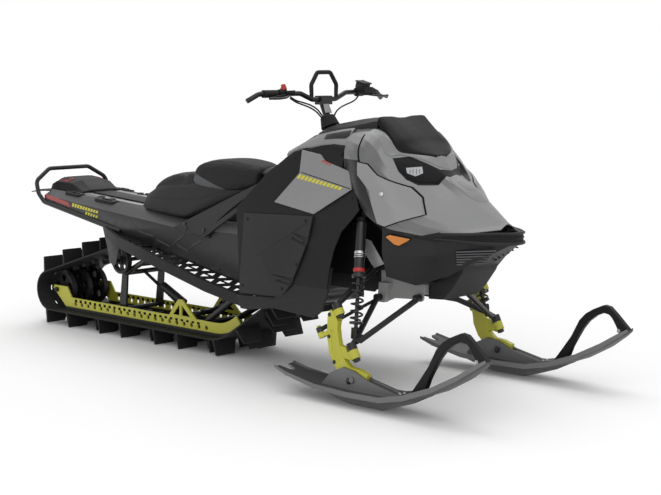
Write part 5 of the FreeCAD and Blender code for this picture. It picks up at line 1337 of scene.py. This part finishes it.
pieces = []
inlays = []
for x, y, length in tail["pads"]:
    for side in (-1, 1):
        outline = [
            mm(px, side * py, tunnelTop(px) - 9 - abs(py - 150) * 0.15)
            for px, py in stadium(x, y, length, tail["padWidth"])
        ]
        push = mm(0.5, side * 2.5, tail["padHeight"] + 8)
        pieces.append(prismFrom("anchorPad", outline, push, 0.0025, 3))
        outline = [mm(px, side * py, tunnelTop(px) + 6) for px, py in stadium(x + 6, y, length * 0.46, 13)]
        inlays.append(prismFrom("padSlot", outline, mm(0.2, side * 1.2, 3.6), 0.0006))
settle(joinAll("anchorPads", pieces), "blackPlastic", "chassis")
settle(joinAll("padSlots", inlays), "mouldedDark", "chassis")
x0, x1, half = tail["topPad"]
outline = [mm(x, y, tunnelTop(x)) for x, y in ((x0, -half), (x1, -half), (x1, half), (x0, half))]
topPad = prismFrom("tunnelPad", outline, mm(0.4, 0, 7), 0.003, 3)
settle(topPad, "blackPlastic", "chassis")
x0, x1, near, far = tail["silver"]
strip = [(x, y, tunnelTop(x)) for x, y in ((x0, near), (x1, near), (x1, far), (x0, far))]
strips = joinAll("tunnelStrips", prismPair("tunnelStrip", strip, (0.1, 0, 2.2), 0.0007))
settle(strips, "stripSilver", "chassis")


# Height of the rear cover's top at a place
def coverTop(x, y):
    for one, two in zip(tail["coverTop"], tail["coverTop"][1:]):
        if x <= two[0]:
            t = (x - one[0]) / (two[0] - one[0])
            outerY, outerZ, innerY, innerZ = [one[k] + (two[k] - one[k]) * t for k in (1, 2, 3, 4)]
            share = max(0.0, (abs(y) - innerY) / (outerY - innerY))
            return innerZ + (outerZ - innerZ) * share
    return tail["coverTop"][-1][4]


frames = []
holes = []
for x, y in tail["slots"]:
    sx, sy = tail["slotSize"]
    for shrink, stack, high in ((0, frames, 4.0), (6, holes, 4.8)):
        outline = []
        for ax, ay in ((-1, -1), (1, -1), (1, 1), (-1, 1)):
            px = x + ax * (sx / 2 - shrink)
            py = y + ay * (sy / 2 - shrink)
            outline.append(mm(px, py, coverTop(px, py) - 4))
        stack.append(prismFrom("coverSlot", outline, mm(0.2, 0, high + 4), 0.0012))
settle(joinAll("coverSlotFrames", frames), "redPlastic", "chassis")
settle(joinAll("coverSlotHoles", holes), "gripRubber", "chassis")
ribs = []
rib = tail["lampRibs"]
for i in range(rib["count"]):
    y = rib["from"] + rib["step"] * i
    foot, top = [mm(x, y, z) for x, z in (rib["foot"], rib["top"])]
    ribs.append(barBetween("lampRib", foot, top, 0.0012, 0.0, 8))
settle(joinAll("rearLampRibs", ribs), "redLens", "chassis")

# Tunnel sides: embossed ribs, two stripes, rivets and the struts' bolts
tunnelTrim = {
    "face": 215, "boltFace": 238,
    "ribs": [
        ((-577, 522), (-477, 498)), ((-464, 507), (-364, 567)), ((-427, 510), (-342, 486)),
        ((-354, 492), (-244, 548)), ((-796, 607), (-712, 552)), ((-712, 552), (-600, 538)),
    ],
    "stripe": {
        "from": (-1262, 640), "to": (-1040, 618), "height": 18, "count": 10, "slant": 8, "fill": 0.7,
    },
    "stripeLow": {
        "from": (-1150, 606), "to": (-1044, 594), "height": 16, "count": 5, "slant": 8, "fill": 0.66,
    },
    "rivets": [(-1420, 655), (-1210, 600), (-980, 560), (-860, 545), (-560, 500), (-300, 440), (-120, 420)],
    "bolts": [(-338, 618), (-202, 599)],
}


# Raised bar on a flat side: from one point to another, as x and height
def flatRib(name, start, end, width, face, proud, side):
    a = Vector((start[0], start[1]))
    b = Vector((end[0], end[1]))
    across = Vector((-(b - a).y, (b - a).x)).normalized() * (width / 2)
    outline = [
        mm(p.x, side * (face + proud), p.y)
        for p in (a - across, b - across, b + across, a + across)
    ]
    return prismFrom(name, outline, mm(0, -side * (proud + 0.6), 0), 0.001)


for side in (-1, 1):
    pieces = [flatRib("tunnelRib", a, b, 9, tunnelTrim["face"], 2.4, side) for a, b in tunnelTrim["ribs"]]
    settle(joinAll("tunnelRibs", pieces), "darkSheet", "chassis")
    for row in ("stripe", "stripeLow"):
        stripe = dashRow("tunnelStripe", tunnelTrim[row], lambda x, z: tunnelTrim["face"], 0.8, side)
        settle(stripe, "decalYellow", "chassis")
    pieces = []
    for x, z in tunnelTrim["rivets"]:
        pieces += rivet(mm(x, side * tunnelTrim["face"], z), (0, side, 0), 0.0065)
    for x, z in tunnelTrim["bolts"]:
        pieces += bolt(mm(x, side * tunnelTrim["boltFace"], z), (0, side, 0), 0.009, 0.006)
    settle(joinAll("tunnelFasteners", pieces), "blackMetal", "chassis")
print("tunnel trimmed")

# Cockpit: bellows round the column, stop button, levers, reservoir and cables
column = {
    "place": Vector((0.384, 0, 1.091)),
    "up": Vector((-math.sin(math.radians(25)), 0, math.cos(math.radians(25)))),
}
fold = {"count": 5, "radius": 0.036, "taper": 0.0022, "cord": 0.0066, "foot": -0.006, "pitch": 0.0098}
bellows = []
for i in range(fold["count"]):
    clearSelection()
    bpy.ops.mesh.primitive_torus_add(
        major_radius=fold["radius"] - fold["taper"] * i, minor_radius=fold["cord"],
        major_segments=40, minor_segments=12,
    )
    ring = bpy.context.object
    spot = column["place"] + column["up"] * (fold["foot"] + fold["pitch"] * i)
    turn = column["up"].to_track_quat("Z", "Y").to_matrix().to_4x4()
    ring.matrix_world = Matrix.Translation(spot) @ turn
    makeActive(ring)
    bpy.ops.object.transform_apply(location=True, rotation=True, scale=True)
    smoothByAngle(ring, 50.0)
    bellows.append(ring)
settle(joinAll("columnBellows", bellows), "gripRubber", "chassis")

# Bright plate up the front of the column
outline = []
for up, y in ((0.052, -0.024), (0.100, -0.020), (0.104, 0.012), (0.050, 0.014)):
    outline.append(column["place"] + column["up"] * up + Vector((0.018, y, 0.006)))
plate = prismFrom("columnPlate", outline, Vector((0.004, 0, 0.002)), 0.001)
settle(plate, "castAlloy", "steering")
button = joinAll("stopButton", [
    barBetween("buttonBase", mm(338, -232, 1246), mm(332, -232, 1262), 0.0125, 0.0015, 28),
    barBetween("buttonTop", mm(334, -232, 1258), mm(329, -232, 1271), 0.0105, 0.003, 28),
])
settle(button, "redPlastic", "steering")

# Brake reservoir with its cap and screws
outline = [mm(330, 214, 1252), mm(378, 214, 1240), mm(378, 262, 1240), mm(330, 262, 1252)]
reservoir = prismFrom("brakeReservoir", outline, mm(8, 0, 26), 0.004, 3)
settle(reservoir, "mouldedDark", "steering")
outline = [mm(335, 211, 1279), mm(390, 211, 1265), mm(390, 265, 1265), mm(335, 265, 1279)]
cap = prismFrom("reservoirCap", outline, mm(1.5, 0, 6), 0.002)
settle(cap, "blackPlastic", "steering")
screws = []
for y in (220, 256):
    screws.append(barBetween("capScrew", mm(345, y, 1282), mm(346.5, y, 1286), 0.004, 0.0008, 12))
settle(joinAll("capScrews", screws), "brightMetal", "steering")

# Cables from both ends of the bar down to the column, then the levers
cables = [
    [
        (350, -208, 1218), (352, -184, 1202), (357, -140, 1192), (362, -96, 1180), (366, -58, 1160),
        (368, -38, 1138), (372, -26, 1122),
    ],
    [
        (346, -206, 1212), (350, -178, 1194), (352, -136, 1182), (356, -92, 1168), (360, -56, 1148),
        (366, -40, 1128), (376, -30, 1112),
    ],
    [
        (364, 212, 1232), (372, 190, 1206), (376, 150, 1188), (374, 104, 1176), (372, 66, 1160),
        (372, 42, 1138), (376, 30, 1116),
    ],
]
lines = [lineThrough("controlCable", [mm(*p) for p in route], 0.0036) for route in cables]
settle(joinAll("controlCables", lines), "gripRubber", "steering")
leverRoute = [(0, 226, 1226), (24, 240, 1222), (44, 275, 1216), (46, 330, 1212), (38, 366, 1214)]
levers = []
for side, start in ((-1, 352), (1, 356)):
    levers.append(lineThrough("lever", [mm(start + x, side * y, z) for x, y, z in leverRoute], 0.0052))
settle(joinAll("barLevers", levers), "blackMetal", "steering")
print("cockpit trimmed")

# Front suspension: shock collars and adjusters, spindle bolts, arm bolts
frontTrim = {
    "shockLow": (935, 412, 292), "shockHigh": (862, 300, 724),
    "collars": [(0.296, 0.300), (0.303, 0.307), (0.310, 0.322)], "adjuster": (0.236, 0.252),
    "spindleFace": 473, "spindleBolts": [(846, 352), (842, 262), (872, 160), (1010, 118)],
    "armBolts": [(1040, 172, 404), (834, 188, 388), (840, 172, 526)],
}
for side in (-1, 1):
    low, high = [Vector(mm(x, y * side, z)) for x, y, z in (frontTrim["shockLow"], frontTrim["shockHigh"])]
    along = (high - low).normalized()
    rings = []
    for a, b in frontTrim["collars"]:
        rings.append(barBetween("shockCollar", low + along * a, low + along * b, 0.0238, 0.0012, 40))
    settle(joinAll("shockCollars", rings), "brightMetal", "chassis")
    a, b = frontTrim["adjuster"]
    knob = barBetween("shockAdjuster", low + along * a, low + along * b, 0.0236, 0.002, 40)
    settle(knob, "redPlastic", "chassis")
    pieces = []
    for x, z in frontTrim["spindleBolts"]:
        pieces += bolt(mm(x, side * frontTrim["spindleFace"], z), (0, side, 0), 0.006, 0.005)
    pieces += bolt(mm(985, side * frontTrim["spindleFace"], 104), (0, side, 0), 0.012, 0.010)
    body = "front_left" if side > 0 else "front_right"
    settle(joinAll("spindleBolts", pieces), "blackMetal", body)
    pieces = []
    for x, y, z in frontTrim["armBolts"]:
        pieces += bolt(mm(x, side * y, z), (0, side, 0), 0.008, 0.006)
    settle(joinAll("armBolts", pieces), "blackMetal", "chassis")

# Headlamps: reflector bars across the front of each lens
lampBars = {
    "out": (0.695, 0.719, 0.02), "spots": (-0.019, -0.007, 0.007, 0.019), "half": 0.012, "radius": 0.0014,
}
bars = []
for side in (-1, 1):
    corners = [vertex.co for vertex in soft["headlamps"].data.vertices if vertex.co.y * side > 0]
    out = Vector((lampBars["out"][0], side * lampBars["out"][1], lampBars["out"][2])).normalized()
    middle = sum(corners, Vector()) / len(corners)
    middle += out * (max(spot.dot(out) for spot in corners) - middle.dot(out))
    along = out.cross(Vector((0, 0, 1))).normalized()
    for spot in lampBars["spots"]:
        foot = middle + along * spot
        reach = Vector((0, 0, lampBars["half"] * (1 - abs(spot) * 14)))
        bars.append(barBetween("lampBar", foot - reach, foot + reach, lampBars["radius"], 0.0, 10))
settle(joinAll("lampBars", bars), "slateGrey", "chassis")

# Ski hardware: loop nuts, saddle bolts and channel bolts
skiTrim = {
    "loopNuts": [(1614, 473, 259, 1), (1614, 447, 259, -1)],
    "saddleBolts": [(964, 484, 96, 1), (993, 427, 103, -1)],
    "channelBolts": [(1230, 447, 78, 1), (1230, 473, 78, -1)],
}
for side in (-1, 1):
    body = "front_left" if side > 0 else "front_right"
    silver = []
    for x, y, z, turn in skiTrim["loopNuts"] + skiTrim["channelBolts"]:
        silver += bolt(mm(x, side * y, z), (0, side * turn, 0), 0.006, 0.005)
    settle(joinAll("skiNuts", silver), "brightMetal", body)
    black = []
    for x, y, z, turn in skiTrim["saddleBolts"]:
        black += bolt(mm(x, side * y, z), (0, side * turn, 0), 0.010, 0.006)
    settle(joinAll("saddleBolts", black), "blackMetal", body)

# Painted shade: dark plates along the upper half of both rails stand for punched windows
railTrim = {
    "row": {"from": (-1352, 128), "to": (-330, 128), "height": 15, "count": 25, "slant": 0, "fill": 0.45},
    "faces": (144.5, 134.8),
}
for side in (-1, 1):
    for face in railTrim["faces"]:
        windowShade = dashRow("railWindowShade", railTrim["row"], lambda x, z: face, 0.8, side)
        settle(windowShade, "bayDarkAndShade", "chassis")
print("suspension trimmed")


# Studio: pale sweep under an even sky and two soft suns
studio = {
    "floorSize": 400.0, "floorHeight": -0.0005, "world": 0.62, "total": 1.03,
    "suns": [("highSun", (-0.35, 0.45, 1.0), 0.8, 1.0), ("nearSun", (0.75, -0.9, 0.8), 0.4, 1.1)],
}


# The camera sees a plain white sky, while the light comes from a dimmer one
def makeStudio():
    world = bpy.data.worlds.new("studioWorld")
    scene.world = world
    world.use_nodes = True
    tree = world.node_tree
    tree.nodes.clear()
    output = tree.nodes.new("ShaderNodeOutputWorld")
    even = tree.nodes.new("ShaderNodeBackground")
    even.inputs["Color"].default_value = (1, 1, 1, 1)
    even.inputs["Strength"].default_value = studio["world"]
    white = tree.nodes.new("ShaderNodeBackground")
    white.inputs["Color"].default_value = (1, 1, 1, 1)
    white.inputs["Strength"].default_value = 1.0
    rays = tree.nodes.new("ShaderNodeLightPath")
    seen = addMath(tree, "MAXIMUM", rays.outputs["Is Camera Ray"], rays.outputs["Is Transmission Ray"])
    mix = tree.nodes.new("ShaderNodeMixShader")
    tree.links.new(seen, mix.inputs[0])
    tree.links.new(even.outputs[0], mix.inputs[1])
    tree.links.new(white.outputs[0], mix.inputs[2])
    tree.links.new(mix.outputs[0], output.inputs[0])
    clearSelection()
    bpy.ops.mesh.primitive_plane_add(size=studio["floorSize"], location=(0, 0, studio["floorHeight"]))
    floor = bpy.context.object
    floor.name = "studioFloor"
    material = bpy.data.materials.new("studioFloor")
    material.use_nodes = True
    shader = material.node_tree.nodes["Principled BSDF"]
    shader.inputs["Base Color"].default_value = (1, 1, 1, 1)
    shader.inputs["Roughness"].default_value = 1.0
    shader.inputs["Specular IOR Level"].default_value = 0.0
    floor.data.materials.append(material)
    shares = sum(sun[2] for sun in studio["suns"])
    for name, direction, share, spread in studio["suns"]:
        light = bpy.data.lights.new(name, "SUN")
        aim = Vector(direction).normalized()
        light.energy = share * (studio["total"] - studio["world"]) * math.pi / aim.z / shares
        light.angle = spread
        lamp = bpy.data.objects.new(name, light)
        scene.collection.objects.link(lamp)
        lamp.rotation_euler = aim.to_track_quat("Z", "Y").to_euler()


makeStudio()
scene.view_settings.view_transform = "Standard"

bpy.context.view_layer.update()
